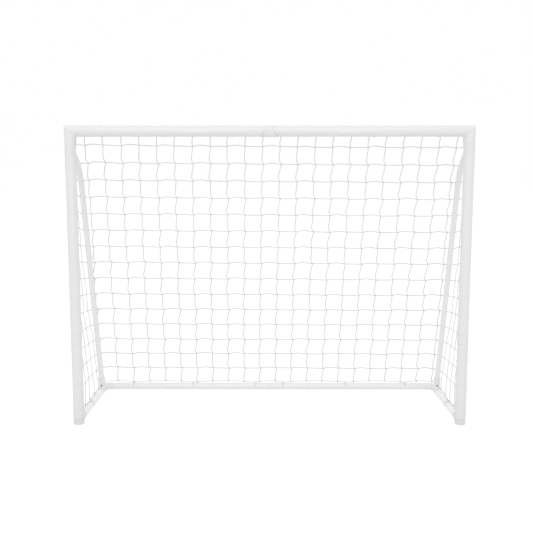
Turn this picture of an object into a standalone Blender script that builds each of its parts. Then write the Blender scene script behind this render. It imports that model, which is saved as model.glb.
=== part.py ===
"""Soccer goal of plastic tube, 2.44 m wide, 1.83 m tall and 0.80 m deep, with its net.

A thick round front frame (two posts and a crossbar) stands on two capped feet. Behind it a
thinner frame leans back: two bent side stays, two base rails on the ground and a rear bar.
Fittings carry spigots that slide into the tubes, and a sprung button locks each stay foot.

Frame: metres, +Z up, +X to the right of someone facing the mouth, and the mouth faces -Y. The
origin is on the ground, under the middle of the goal's outer box.
"""

import math

import bmesh
import bpy
from mathutils import Vector

# ---------------------------------------------------------------- overall size
WIDTH = 2.44
HEIGHT = 1.83
DEPTH = 0.80

# ---------------------------------------------------------------- tubes
GAP = 0.0003
FRONT_R = 0.0325
FRONT_WALL = 0.003
REAR_R = 0.0225
REAR_WALL = 0.0025
STAY_R = 0.018
STAY_WALL = 0.0025
FRONT_SIDES = 24
REAR_SIDES = 20
STAY_SIDES = 20

# ---------------------------------------------------------------- front frame
COLLAR_PROUD = 0.0006
CORNER_ARM = 0.097
CORNER_SPIGOT = 0.045
CROSSBAR_SPIGOT = 0.08
TEE_HEIGHT = 0.104
POST_SPIGOT = 0.08
POST_COUPLER_Z = (0.512, 0.572)
FOOT_TOP = 0.25
CAP_HEIGHT = 0.037
CAP_PLUG = 0.03
CAP_ROUND = 0.004
BAR_COLLAR_HALF = 0.020
BAR_TONGUE = 0.030
BAR_TONGUE_LIP = 0.002
BAR_SHELL = 0.001
BAR_COUPLER_SPIGOT = 0.09

# ---------------------------------------------------------------- rear frame
REAR_FITTING_R = 0.0235
SPIGOT = 0.06
SWAGE = 0.004
STAY_LEAN = math.radians(16.0)
TEE_ARM_DROP = math.radians(26.0)
STAY_BEND_R = 0.30
STAY_BEND_STEPS = 8
TEE_ARM_Z = 1.697
TEE_ARM_R = 0.0215
TEE_ARM_END = 0.062
TEE_ARM_SEAT = 0.034
STAY_KNEE = (0.240, 1.596)
STAY_JOINT_Z = 0.285
STAY_SOCKET_TOP = 0.095
STAY_SOCKET_SEAT = 0.030
FOOT_ARM_END = 0.13
FOOT_BEND_R = 0.07
FOOT_BEND_Y = 0.042
FOOT_BEND_STEPS = 5
RAIL_JOINT_Y = 0.42
REAR_ARM_Y = 0.62
REAR_BEND_R = 0.05
REAR_BEND_STEPS = 5
REAR_ARM_LIP = 0.004
REAR_COLLAR_HALF = 0.016

# ---------------------------------------------------------------- lock button and its spring
BUTTON_S = 0.043
BUTTON_R = 0.005
BUTTON_CLEAR = 0.0004
BUTTON_PROUD = 0.0025
BUTTON_DOME = 0.0012
FLANGE_R = 0.0062
FLANGE_THICK = 0.0015
BUTTON_SIDES = 16
SPRING_WIDE = 0.008
SPRING_THICK = 0.0008
SPRING_LONG = 0.055

# ---------------------------------------------------------------- net and clips
NET_THICK = 0.002
NET_CLEAR = 0.006
CLIP_THICK = 0.002
CLIP_WIDE = 0.012
CLIP_SLACK = 0.0017
CLIP_HALF_ANGLE = math.radians(100.0)
CLIP_STEPS = 8
CLIP_HOOK = 0.007
CROSSBAR_CLIP_X = (0.22, 0.62, 1.00)
POST_CLIP_Z = (0.40, 0.80, 1.20)
REAR_BAR_CLIP_X = (0.10, 0.55, 0.98)
RAIL_CLIP_Y = 0.34

# ---------------------------------------------------------------- places worked out from the above
POST_X = WIDTH / 2 - FRONT_R
MOUTH_Y = -DEPTH / 2
POST_Y = MOUTH_Y + FRONT_R
BAR_Z = HEIGHT - FRONT_R
BASE_Z = REAR_FITTING_R
BACK_Y = DEPTH / 2 - REAR_R - CLIP_THICK - CLIP_SLACK
FRONT_SPIGOT_R = FRONT_R - FRONT_WALL - GAP
REAR_SPIGOT_R = REAR_R - REAR_WALL - GAP
STAY_SPIGOT_R = STAY_R - STAY_WALL - GAP
STAY_BORE_R = (STAY_R - STAY_WALL) * math.cos(math.pi / STAY_SIDES)
FLANGE_TOP = math.sqrt(STAY_BORE_R**2 - FLANGE_R**2) - GAP
TEE_TOP = HEIGHT - CORNER_ARM
TEE_BOTTOM = TEE_TOP - TEE_HEIGHT
X_AXIS = Vector((1, 0, 0))
Z_AXIS = Vector((0, 0, 1))
STAY_UP = Vector((0, -math.sin(STAY_LEAN), math.cos(STAY_LEAN)))
STAY_FRONT = Vector((0, -math.cos(STAY_LEAN), -math.sin(STAY_LEAN)))
SIDES = (("left", -1), ("right", 1))


def depth(distance):
    """The Y of a place this far behind the mouth's front plane."""
    return MOUTH_Y + distance


def stay_foot(side):
    """Where the straight part of the stay would meet the base rail's axis."""
    knee = Vector((side * POST_X, depth(STAY_KNEE[0]), STAY_KNEE[1]))
    return knee - STAY_UP * ((STAY_KNEE[1] - BASE_Z) / STAY_UP.z)


def stay_at_height(side, z):
    foot = stay_foot(side)
    return foot + STAY_UP * ((z - foot.z) / STAY_UP.z)


# ---------------------------------------------------------------- modelling helpers
def material(name, colour, roughness, metallic=0.0):
    made = bpy.data.materials.new(name)
    made.use_nodes = True
    shader = made.node_tree.nodes["Principled BSDF"]
    shader.inputs["Base Color"].default_value = (*colour, 1.0)
    shader.inputs["Roughness"].default_value = roughness
    shader.inputs["Metallic"].default_value = metallic
    return made


def add_object(name, mesh_data, finish, smooth=True):
    mesh_data.normal_update()
    bmesh.ops.recalc_face_normals(mesh_data, faces=mesh_data.faces)
    mesh = bpy.data.meshes.new(name)
    mesh_data.to_mesh(mesh)
    mesh_data.free()
    mesh.materials.append(finish)
    obj = bpy.data.objects.new(name, mesh)
    bpy.context.scene.collection.objects.link(obj)
    if smooth:
        mesh.shade_smooth()
        mesh.set_sharp_from_angle(angle=math.radians(35))
    return obj


def stations(points, normal):
    """One station per point of a path that lies in a plane: its centre and two ring axes.

    At a corner the ring lies in the plane that halves the corner, so tubes meet in a mitre.
    """
    points = [Vector(point) for point in points]
    runs = [(b - a).normalized() for a, b in zip(points, points[1:])]
    before = [runs[0], *runs]
    after = [*runs, runs[-1]]
    made = []
    for point, run_in, run_out in zip(points, before, after):
        side_in = normal.cross(run_in)
        side_out = normal.cross(run_out)
        across = (side_in + side_out) / (1 + side_in.dot(side_out))
        made.append((point, across, normal))
    return made


def ring(mesh_data, station, radius, sides):
    centre, across, up = station
    made = []
    for index in range(sides):
        turn = 2 * math.pi * index / sides
        place = centre + across * (radius * math.cos(turn)) + up * (radius * math.sin(turn))
        made.append(mesh_data.verts.new(place))
    return made


def bridge(mesh_data, first, second):
    count = len(first)
    for index in range(count):
        following = (index + 1) % count
        mesh_data.faces.new((first[index], first[following], second[following], second[index]))


def sleeve(name, outer, inner, sides, finish):
    """A hollow piece: outer lists (station, radius) from end to end, inner lists its bore."""
    mesh_data = bmesh.new()
    rings = [ring(mesh_data, station, radius, sides) for station, radius in outer]
    rings += [ring(mesh_data, station, radius, sides) for station, radius in reversed(inner)]
    for first, second in zip(rings, [*rings[1:], rings[0]]):
        bridge(mesh_data, first, second)
    return add_object(name, mesh_data, finish)


def rod(name, profile, sides, finish):
    """A solid piece: profile lists (station, radius) from end to end."""
    mesh_data = bmesh.new()
    rings = [ring(mesh_data, station, radius, sides) for station, radius in profile]
    for first, second in zip(rings, rings[1:]):
        bridge(mesh_data, first, second)
    mesh_data.faces.new(rings[0])
    mesh_data.faces.new(rings[-1])
    return add_object(name, mesh_data, finish)


def prism(name, outline, across, finish, smooth=False):
    """A flat outline, pushed out by the vector across."""
    mesh_data = bmesh.new()
    near = [mesh_data.verts.new(Vector(point)) for point in outline]
    far = [mesh_data.verts.new(Vector(point) + across) for point in outline]
    bridge(mesh_data, near, far)
    mesh_data.faces.new(near)
    mesh_data.faces.new(far)
    return add_object(name, mesh_data, finish, smooth)


def normal_to(direction):
    return X_AXIS if abs(direction.x) < 0.5 else Z_AXIS


def straight(start, end):
    """The two end stations of a straight tube, with a ring corner at its lowest line."""
    start, end = Vector(start), Vector(end)
    return stations([start, end], normal_to((end - start).normalized()))


def tube(name, start, end, radius, wall, sides, finish):
    ends = straight(start, end)
    return sleeve(
        name,
        [(end_station, radius) for end_station in ends],
        [(end_station, radius - wall) for end_station in ends],
        sides,
        finish,
    )


def helper(obj):
    """Marks a body that only shapes another one."""
    obj.hide_render = True
    obj.display_type = "WIRE"
    return obj


def combine(obj, other, operation):
    modifier = obj.modifiers.new(other.name, "BOOLEAN")
    modifier.operation = operation
    modifier.solver = "EXACT"
    modifier.object = helper(other)


def arc(centre, start, end, steps):
    """Points on the quarter or lesser arc that turns from one arm to the other about centre."""
    angle = start.angle(end)
    made = []
    for index in range(steps + 1):
        share = index / steps
        from_start = start * (math.sin((1 - share) * angle) / math.sin(angle))
        made.append(centre + from_start + end * (math.sin(share * angle) / math.sin(angle)))
    return made


# ---------------------------------------------------------------- front frame
def crossbar_tubes(side_name, side):
    start = (side * (BAR_COLLAR_HALF + GAP), POST_Y, BAR_Z)
    end = (side * (WIDTH / 2 - CORNER_ARM - GAP), POST_Y, BAR_Z)
    tube(f"crossbar_tube_{side_name}", start, end, FRONT_R, FRONT_WALL, FRONT_SIDES, UPVC)


def tongue_ring(mesh_data, side, radius):
    """The scalloped edge of the crossbar coupler's shell, longest underneath the bar."""
    made = []
    for index in range(FRONT_SIDES):
        turn = 2 * math.pi * index / FRONT_SIDES
        reach = BAR_TONGUE * math.sqrt(max(0.0, math.cos(turn)))
        x = side * (BAR_COLLAR_HALF + BAR_TONGUE_LIP + reach)
        y = POST_Y + radius * math.sin(turn)
        z = BAR_Z - radius * math.cos(turn)
        made.append(mesh_data.verts.new((x, y, z)))
    return made


def crossbar_coupler():
    """A collar between the two crossbar tubes, with spigots inside and a thin shell outside."""
    mesh_data = bmesh.new()
    shell_in = FRONT_R + GAP
    shell_out = shell_in + BAR_SHELL
    end = BAR_COLLAR_HALF + BAR_COUPLER_SPIGOT

    def plain(x, radius):
        station = (Vector((x, POST_Y, BAR_Z)), -Z_AXIS, Vector((0, 1, 0)))
        return ring(mesh_data, station, radius, FRONT_SIDES)

    rings = [
        plain(end, FRONT_SPIGOT_R),
        plain(BAR_COLLAR_HALF, FRONT_SPIGOT_R),
        plain(BAR_COLLAR_HALF, shell_in),
        tongue_ring(mesh_data, 1, shell_in),
        tongue_ring(mesh_data, 1, shell_out),
        tongue_ring(mesh_data, -1, shell_out),
        tongue_ring(mesh_data, -1, shell_in),
        plain(-BAR_COLLAR_HALF, shell_in),
        plain(-BAR_COLLAR_HALF, FRONT_SPIGOT_R),
        plain(-end, FRONT_SPIGOT_R),
        plain(-end, FRONT_SPIGOT_R - FRONT_WALL),
        plain(end, FRONT_SPIGOT_R - FRONT_WALL),
    ]
    for first, second in zip(rings, [*rings[1:], rings[0]]):
        bridge(mesh_data, first, second)
    add_object("crossbar_coupler", mesh_data, FITTING)


def top_corner(side_name, side):
    """A square mitred elbow: one spigot enters the crossbar, the other enters the stay tee."""
    bar_end = side * (WIDTH / 2 - CORNER_ARM)
    path = [
        (bar_end - side * CROSSBAR_SPIGOT, POST_Y, BAR_Z),
        (bar_end, POST_Y, BAR_Z),
        (side * POST_X, POST_Y, BAR_Z),
        (side * POST_X, POST_Y, TEE_TOP),
        (side * POST_X, POST_Y, TEE_TOP - CORNER_SPIGOT),
    ]
    bar_spigot, bar_arm, corner, post_arm, post_spigot = stations(path, Vector((0, 1, 0)))
    body = FRONT_R + COLLAR_PROUD
    bore = FRONT_SPIGOT_R - FRONT_WALL
    outer = [
        (bar_spigot, FRONT_SPIGOT_R),
        (bar_arm, FRONT_SPIGOT_R),
        (bar_arm, body),
        (corner, FRONT_R),
        (post_arm, body),
        (post_arm, FRONT_SPIGOT_R),
        (post_spigot, FRONT_SPIGOT_R),
    ]
    inner = [(bar_spigot, bore), (corner, bore), (post_spigot, bore)]
    sleeve(f"top_corner_{side_name}", outer, inner, FRONT_SIDES, FITTING)


def tee_arm_direction():
    return Vector((0, math.cos(TEE_ARM_DROP), -math.sin(TEE_ARM_DROP)))


def stay_tee(side_name, side):
    """A length of post with an arm that leaves its back and takes the upper end of the stay."""
    x = side * POST_X
    heights = [TEE_TOP - GAP, TEE_BOTTOM, TEE_BOTTOM - POST_SPIGOT]
    top, bottom, spigot = stations([(x, POST_Y, z) for z in heights], X_AXIS)
    body = FRONT_R + COLLAR_PROUD
    tee = rod(
        f"stay_tee_{side_name}",
        [(top, body), (bottom, body), (bottom, FRONT_SPIGOT_R), (spigot, FRONT_SPIGOT_R)],
        FRONT_SIDES,
        FITTING,
    )
    root = Vector((x, POST_Y, TEE_ARM_Z))
    along = tee_arm_direction()
    arm_ends = straight(root, root + along * TEE_ARM_END)
    arm = rod(f"tee_arm_{side_name}", [(s, TEE_ARM_R) for s in arm_ends], STAY_SIDES, FITTING)
    combine(tee, arm, "UNION")
    bore_path = [TEE_TOP + CAP_PLUG, TEE_TOP - CORNER_SPIGOT - GAP, TEE_BOTTOM - POST_SPIGOT - CAP_PLUG]
    above, seat, below = stations([(x, POST_Y, z) for z in bore_path], X_AXIS)
    wide = FRONT_R - FRONT_WALL
    narrow = FRONT_SPIGOT_R - FRONT_WALL
    bore = rod(
        f"tee_bore_{side_name}",
        [(above, wide), (seat, wide), (seat, narrow), (below, narrow)],
        FRONT_SIDES,
        FITTING,
    )
    combine(tee, bore, "DIFFERENCE")
    seat_ends = straight(root + along * (FRONT_R / 2), root + along * (TEE_ARM_END + CAP_PLUG))
    socket = rod(f"tee_socket_{side_name}", [(s, STAY_R + GAP) for s in seat_ends], STAY_SIDES, FITTING)
    combine(tee, socket, "DIFFERENCE")


def post_tubes(side_name, side):
    x = side * POST_X
    spans = {
        "upper": (TEE_BOTTOM - GAP, POST_COUPLER_Z[1] + GAP),
        "lower": (POST_COUPLER_Z[0] - GAP, FOOT_TOP + GAP),
    }
    for span_name, (top, bottom) in spans.items():
        start = (x, POST_Y, top)
        end = (x, POST_Y, bottom)
        tube(f"post_{span_name}_{side_name}", start, end, FRONT_R, FRONT_WALL, FRONT_SIDES, UPVC)


def post_coupler(side_name, side):
    """A collar that shows between two post tubes, with a spigot in each of them."""
    low, high = POST_COUPLER_Z
    heights = [high + POST_SPIGOT, high, low, low - POST_SPIGOT]
    top, upper, lower, bottom = stations([(side * POST_X, POST_Y, z) for z in heights], X_AXIS)
    body = FRONT_R + COLLAR_PROUD
    outer = [
        (top, FRONT_SPIGOT_R),
        (upper, FRONT_SPIGOT_R),
        (upper, body),
        (lower, body),
        (lower, FRONT_SPIGOT_R),
        (bottom, FRONT_SPIGOT_R),
    ]
    inner = [(top, FRONT_SPIGOT_R - FRONT_WALL), (bottom, FRONT_SPIGOT_R - FRONT_WALL)]
    sleeve(f"post_coupler_{side_name}", outer, inner, FRONT_SIDES, FITTING)


def foot_cap(side_name, side):
    """The plug that closes the bottom of the foot and stands on the ground."""
    heights = [0.0, CAP_ROUND, CAP_HEIGHT, CAP_HEIGHT + CAP_PLUG]
    places = stations([(side * POST_X, POST_Y, z) for z in heights], X_AXIS)
    ground, rounded, rim, plug = places
    profile = [
        (ground, FRONT_R - CAP_ROUND),
        (rounded, FRONT_R),
        (rim, FRONT_R),
        (rim, FRONT_SPIGOT_R),
        (plug, FRONT_SPIGOT_R),
    ]
    rod(f"foot_cap_{side_name}", profile, FRONT_SIDES, RUBBER)


def foot_corner(side_name, side):
    """The foot fitting: an upright leg for the post, and an elbow that sweeps back to the rail."""
    x = side * POST_X
    heights = [FOOT_TOP + POST_SPIGOT, FOOT_TOP, CAP_HEIGHT + GAP]
    spigot, top, bottom = stations([(x, POST_Y, z) for z in heights], X_AXIS)
    body = FRONT_R + COLLAR_PROUD
    foot = rod(
        f"foot_corner_{side_name}",
        [(spigot, FRONT_SPIGOT_R), (top, FRONT_SPIGOT_R), (top, body), (bottom, body)],
        FRONT_SIDES,
        FITTING,
    )
    bend_y = depth(FOOT_BEND_Y)
    centre = Vector((x, bend_y + FOOT_BEND_R, BASE_Z + FOOT_BEND_R))
    bend = arc(centre, Vector((0, -FOOT_BEND_R, 0)), Vector((0, 0, -FOOT_BEND_R)), FOOT_BEND_STEPS)
    arm_end = Vector((x, depth(FOOT_ARM_END), BASE_Z))
    path = stations([*bend, arm_end, arm_end + Vector((0, SPIGOT, 0))], X_AXIS)
    profile = [(station, REAR_FITTING_R) for station in path[:-1]]
    profile += [(path[-2], REAR_SPIGOT_R), (path[-1], REAR_SPIGOT_R)]
    elbow = rod(f"foot_elbow_{side_name}", profile, REAR_SIDES, FITTING)
    combine(foot, elbow, "UNION")
    plug_top = CAP_HEIGHT + CAP_PLUG + GAP
    heights = [FOOT_TOP + POST_SPIGOT + CAP_PLUG, plug_top, CAP_HEIGHT + GAP, -CAP_PLUG]
    above, middle, rim, below = stations([(x, POST_Y, z) for z in heights], X_AXIS)
    narrow = FRONT_SPIGOT_R - FRONT_WALL
    wide = FRONT_R - FRONT_WALL
    bore = rod(
        f"foot_bore_{side_name}",
        [
            (above, narrow),
            (middle, narrow),
            (middle, wide),
            (rim, wide),
            (rim, body + GAP),
            (below, body + GAP),
        ],
        FRONT_SIDES,
        FITTING,
    )
    combine(foot, bore, "DIFFERENCE")
    hollow = straight(arm_end - Vector((0, GAP, 0)), arm_end + Vector((0, SPIGOT + CAP_PLUG, 0)))
    bore_r = REAR_SPIGOT_R - REAR_WALL
    arm_bore = rod(f"foot_arm_bore_{side_name}", [(s, bore_r) for s in hollow], REAR_SIDES, FITTING)
    combine(foot, arm_bore, "DIFFERENCE")


# ---------------------------------------------------------------- rear frame
def stay_tube(side_name, side):
    """The bent upper tube of the side stay, from the tee down to the joint above the foot."""
    x = side * POST_X
    root = Vector((x, POST_Y, TEE_ARM_Z))
    along = tee_arm_direction()
    down = -STAY_UP
    knee = Vector((x, depth(STAY_KNEE[0]), STAY_KNEE[1]))
    turn = along.angle(down)
    cut = STAY_BEND_R * math.tan(turn / 2)
    bend_in = knee - along * cut
    centre = bend_in + Vector((0, -math.sin(TEE_ARM_DROP), -math.cos(TEE_ARM_DROP))) * STAY_BEND_R
    bend = arc(centre, bend_in - centre, knee + down * cut - centre, STAY_BEND_STEPS)
    end = stay_at_height(side, STAY_JOINT_Z)
    path = stations([root + along * TEE_ARM_SEAT, *bend, end], X_AXIS)
    outer = [(station, STAY_R) for station in path]
    inner = [(station, STAY_R - STAY_WALL) for station in path]
    sleeve(f"stay_tube_{side_name}", outer, inner, STAY_SIDES, UPVC)


def stay_foot_tube(side_name, side):
    """The short lower tube of the stay; its swaged top slides into the bent tube."""
    joint = stay_at_height(side, STAY_JOINT_Z) - STAY_UP * GAP
    foot = stay_foot(side)
    path = [
        joint + STAY_UP * SPIGOT,
        joint,
        joint - STAY_UP * SWAGE,
        foot + STAY_UP * (STAY_SOCKET_SEAT + 2 * GAP),
    ]
    top, shoulder, step, bottom = stations(path, X_AXIS)
    outer = [(top, STAY_SPIGOT_R), (shoulder, STAY_SPIGOT_R), (shoulder, STAY_R), (bottom, STAY_R)]
    bore = STAY_SPIGOT_R - STAY_WALL
    inner = [(top, bore), (step, bore), (step, STAY_R - STAY_WALL), (bottom, STAY_R - STAY_WALL)]
    lower = sleeve(f"stay_foot_tube_{side_name}", outer, inner, STAY_SIDES, UPVC)
    combine(lower, button_hole(side, f"stay_hole_{side_name}"), "DIFFERENCE")


def button_centre(side):
    return stay_foot(side) + STAY_UP * BUTTON_S


def button_hole(side, name):
    centre = button_centre(side)
    ends = straight(centre + STAY_FRONT * (STAY_R / 2), centre + STAY_FRONT * (2 * STAY_R))
    return rod(name, [(s, BUTTON_R + BUTTON_CLEAR) for s in ends], BUTTON_SIDES, FITTING)


def rear_corner(side_name, side):
    """The rear corner: the rail turns into the rear bar, and a socket leans up for the stay."""
    x = side * POST_X
    arm_y = depth(REAR_ARM_Y)
    centre = Vector((x - side * REAR_BEND_R, BACK_Y - REAR_BEND_R, BASE_Z))
    out = Vector((side * REAR_BEND_R, 0, 0))
    bend = arc(centre, out, Vector((0, REAR_BEND_R, 0)), REAR_BEND_STEPS)
    rail_arm = Vector((x, arm_y, BASE_Z))
    bar_arm = bend[-1] - Vector((side * REAR_ARM_LIP, 0, 0))
    rail_end = rail_arm - Vector((0, SPIGOT, 0))
    bar_end = bar_arm - Vector((side * SPIGOT, 0, 0))
    path = stations([rail_end, rail_arm, *bend, bar_arm, bar_end], Z_AXIS)
    outer = [(path[0], REAR_SPIGOT_R), (path[1], REAR_SPIGOT_R)]
    outer += [(station, REAR_FITTING_R) for station in path[1:-1]]
    outer += [(path[-2], REAR_SPIGOT_R), (path[-1], REAR_SPIGOT_R)]
    body = rod(f"rear_corner_{side_name}", outer, REAR_SIDES, FITTING)
    foot = stay_foot(side)
    socket_ends = straight(foot, foot + STAY_UP * STAY_SOCKET_TOP)
    socket = rod(f"rear_socket_{side_name}", [(s, REAR_R) for s in socket_ends], STAY_SIDES, FITTING)
    combine(body, socket, "UNION")
    bore_ends = straight(foot + STAY_UP * STAY_SOCKET_SEAT, foot + STAY_UP * (2 * STAY_SOCKET_TOP))
    bore = rod(f"rear_stay_bore_{side_name}", [(s, STAY_R + GAP) for s in bore_ends], STAY_SIDES, FITTING)
    combine(body, bore, "DIFFERENCE")
    combine(body, button_hole(side, f"rear_button_hole_{side_name}"), "DIFFERENCE")
    bore_r = REAR_SPIGOT_R - REAR_WALL
    rail_bore = straight(rail_end - Vector((0, CAP_PLUG, 0)), rail_arm)
    bar_bore = straight(bar_end - Vector((side * CAP_PLUG, 0, 0)), bar_arm)
    for bore_name, ends in (("rail", rail_bore), ("bar", bar_bore)):
        hole = rod(f"rear_{bore_name}_bore_{side_name}", [(s, bore_r) for s in ends], REAR_SIDES, FITTING)
        combine(body, hole, "DIFFERENCE")


def base_rails(side_name, side):
    """Two tubes to a side: the rear one has a swaged end that slides into the front one."""
    x = side * POST_X
    joint = depth(RAIL_JOINT_Y)
    start = (x, depth(FOOT_ARM_END) + GAP, BASE_Z)
    end = (x, joint - GAP, BASE_Z)
    tube(f"base_rail_front_{side_name}", start, end, REAR_R, REAR_WALL, REAR_SIDES, UPVC)
    lengths = [joint - SPIGOT, joint, joint + SWAGE, depth(REAR_ARM_Y) - GAP]
    tip, shoulder, step, back = stations([(x, y, BASE_Z) for y in lengths], X_AXIS)
    outer = [(tip, REAR_SPIGOT_R), (shoulder, REAR_SPIGOT_R), (shoulder, REAR_R), (back, REAR_R)]
    bore = REAR_SPIGOT_R - REAR_WALL
    inner = [(tip, bore), (step, bore), (step, REAR_R - REAR_WALL), (back, REAR_R - REAR_WALL)]
    sleeve(f"base_rail_rear_{side_name}", outer, inner, REAR_SIDES, UPVC)


def rear_bar_tube(side_name, side):
    start = (side * (REAR_COLLAR_HALF + GAP), BACK_Y, BASE_Z)
    end = (side * (POST_X - REAR_BEND_R - REAR_ARM_LIP - GAP), BACK_Y, BASE_Z)
    tube(f"rear_bar_{side_name}", start, end, REAR_R, REAR_WALL, REAR_SIDES, UPVC)


def rear_bar_coupler():
    ends = REAR_COLLAR_HALF + SPIGOT
    places = [-ends, -REAR_COLLAR_HALF, REAR_COLLAR_HALF, ends]
    left, inner_left, inner_right, right = stations([(x, BACK_Y, BASE_Z) for x in places], Z_AXIS)
    outer = [
        (left, REAR_SPIGOT_R),
        (inner_left, REAR_SPIGOT_R),
        (inner_left, REAR_R + COLLAR_PROUD),
        (inner_right, REAR_R + COLLAR_PROUD),
        (inner_right, REAR_SPIGOT_R),
        (right, REAR_SPIGOT_R),
    ]
    inner = [(left, REAR_SPIGOT_R - REAR_WALL), (right, REAR_SPIGOT_R - REAR_WALL)]
    sleeve("rear_bar_coupler", outer, inner, REAR_SIDES, FITTING)


# ---------------------------------------------------------------- lock button and its spring
def lock_button(side_name, side):
    """A domed pin through the stay and its socket, with a flange that the spring pushes on.

    Its origin is on the pin's axis, where the axis crosses the stay's own axis.
    """
    face = REAR_R + BUTTON_PROUD
    steps = [FLANGE_TOP - FLANGE_THICK, FLANGE_TOP, face - BUTTON_DOME, face]
    places = stations([STAY_FRONT * step for step in steps], X_AXIS)
    base, flange, shoulder, tip = places
    profile = [
        (base, FLANGE_R),
        (flange, FLANGE_R),
        (flange, BUTTON_R),
        (shoulder, BUTTON_R),
        (tip, BUTTON_R - BUTTON_DOME),
    ]
    button = rod(f"lock_button_{side_name}", profile, BUTTON_SIDES, STEEL)
    button.location = button_centre(side)


def lock_spring(side_name, side):
    """A folded steel strip inside the stay: one leaf behind the button, one on the back wall."""
    centre = button_centre(side)
    front = FLANGE_TOP - FLANGE_THICK - GAP
    back = GAP - math.sqrt(STAY_BORE_R**2 - (SPRING_WIDE / 2) ** 2)
    tip = -FLANGE_R
    outline = [
        (front, tip),
        (back + 2 * SPRING_THICK, SPRING_LONG),
        (back, SPRING_LONG),
        (back, tip),
        (back + SPRING_THICK, tip),
        (back + SPRING_THICK, SPRING_LONG - 3 * SPRING_THICK),
        (front - SPRING_THICK, tip),
    ]
    half = X_AXIS * (SPRING_WIDE / 2)
    places = [centre + STAY_FRONT * out + STAY_UP * up - half for out, up in outline]
    prism(f"lock_spring_{side_name}", places, half * 2, STEEL)


# ---------------------------------------------------------------- net and its clips
def net_back():
    """The back of the net as one thin bent sheet between the stays."""
    knee_y, knee_z = STAY_KNEE
    lift = REAR_R + NET_CLEAR + CLIP_THICK + CLIP_HOOK
    foot_line = stay_foot(1)
    low = foot_line + STAY_UP * (lift / STAY_UP.z)
    run = [
        Vector((0, depth(2 * FRONT_R + NET_CLEAR + CLIP_HOOK), BAR_Z)),
        Vector((0, depth(knee_y - STAY_R), knee_z)),
        Vector((0, BACK_Y - NET_THICK, low.z)),
    ]
    offset = Vector((0, NET_THICK, 0))
    half = POST_X - REAR_R - NET_CLEAR
    outline = [point - X_AXIS * half for point in run]
    outline += [point + offset - X_AXIS * half for point in reversed(run)]
    prism("net_back", outline, X_AXIS * (2 * half), NET)


def net_side(side_name, side):
    """One side of the net: a thin sheet that fills the frame of post, stay and base rail."""
    clear = STAY_R + NET_CLEAR
    post_back = depth(2 * FRONT_R + NET_CLEAR + CLIP_HOOK)
    foot = stay_foot(side)
    sill = BASE_Z + REAR_FITTING_R + NET_CLEAR + CLIP_HOOK
    inward = STAY_FRONT * (REAR_R + NET_CLEAR)
    socket_low = foot + STAY_UP * ((sill - foot.z - inward.z) / STAY_UP.z) + inward
    knee_y, knee_z = STAY_KNEE
    under_tee = TEE_BOTTOM - NET_CLEAR
    bend_low = stay_at_height(side, knee_z - STAY_BEND_R / 2) + STAY_FRONT * clear
    bend_high = Vector((0, depth(knee_y) - 2 * clear, knee_z - clear))
    outline = [
        (depth(FOOT_ARM_END), sill),
        (socket_low.y, sill),
        (bend_low.y, bend_low.z),
        (bend_high.y, bend_high.z),
        (post_back, under_tee),
        (post_back, sill + FOOT_BEND_R),
    ]
    x = side * POST_X - NET_THICK / 2
    prism(f"net_side_{side_name}", [(x, y, z) for y, z in outline], X_AXIS * NET_THICK, NET)


def net_clip(name, centre, along, facing, tube_radius):
    """A C-shaped clip that snaps over a tube, with a hook on its back for the net's edge."""
    across = along.cross(facing)
    inner_r = (tube_radius + GAP) / math.cos(CLIP_HALF_ANGLE / CLIP_STEPS)
    outer_r = inner_r + CLIP_THICK

    def point(radius, angle):
        return centre + facing * (radius * math.cos(angle)) + across * (radius * math.sin(angle))

    angles = [
        CLIP_HALF_ANGLE * (2 * index / CLIP_STEPS - 1) for index in range(CLIP_STEPS + 1)
    ]
    outline = [point(inner_r, angle) for angle in angles]
    top = [point(outer_r, angle) for angle in reversed(angles)]
    middle = CLIP_STEPS // 2
    hook_root = top[middle]
    hook = [
        hook_root + across * CLIP_THICK,
        hook_root + facing * CLIP_HOOK + across * CLIP_THICK,
        hook_root + facing * CLIP_HOOK - across * (2 * CLIP_THICK),
        hook_root + facing * (CLIP_HOOK - CLIP_THICK) - across * (2 * CLIP_THICK),
        hook_root + facing * (CLIP_HOOK - CLIP_THICK) - across * (CLIP_THICK / 2),
        hook_root - across * (CLIP_THICK / 2),
    ]
    outline += top[:middle] + hook + top[middle + 1 :]
    shift = along * (CLIP_WIDE / 2)
    prism(name, [place - shift for place in outline], shift * 2, CLIP)


def net_clips():
    """The hooks open upwards on the crossbar, outwards on posts and rails, and down on the rear bar."""
    back = Vector((0, 1, 0))
    up_back = Vector((0, 1, 2)).normalized()
    for side_name, side in SIDES:
        for number, x in enumerate(CROSSBAR_CLIP_X, 1):
            centre = Vector((side * x, POST_Y, BAR_Z))
            net_clip(f"crossbar_clip_{side_name}_{number}", centre, -X_AXIS, back, FRONT_R)
        for number, z in enumerate(POST_CLIP_Z, 1):
            centre = Vector((side * POST_X, POST_Y, z))
            net_clip(f"post_clip_{side_name}_{number}", centre, side * Z_AXIS, back, FRONT_R)
        for number, x in enumerate(REAR_BAR_CLIP_X, 1):
            centre = Vector((side * x, BACK_Y, BASE_Z))
            net_clip(f"rear_bar_clip_{side_name}_{number}", centre, X_AXIS, up_back, REAR_R)
        centre = Vector((side * POST_X, depth(RAIL_CLIP_Y), BASE_Z))
        net_clip(f"rail_clip_{side_name}", centre, -side * back, Z_AXIS, REAR_R)


# ---------------------------------------------------------------- the whole goal
for old in list(bpy.data.objects):
    bpy.data.objects.remove(old, do_unlink=True)

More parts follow.
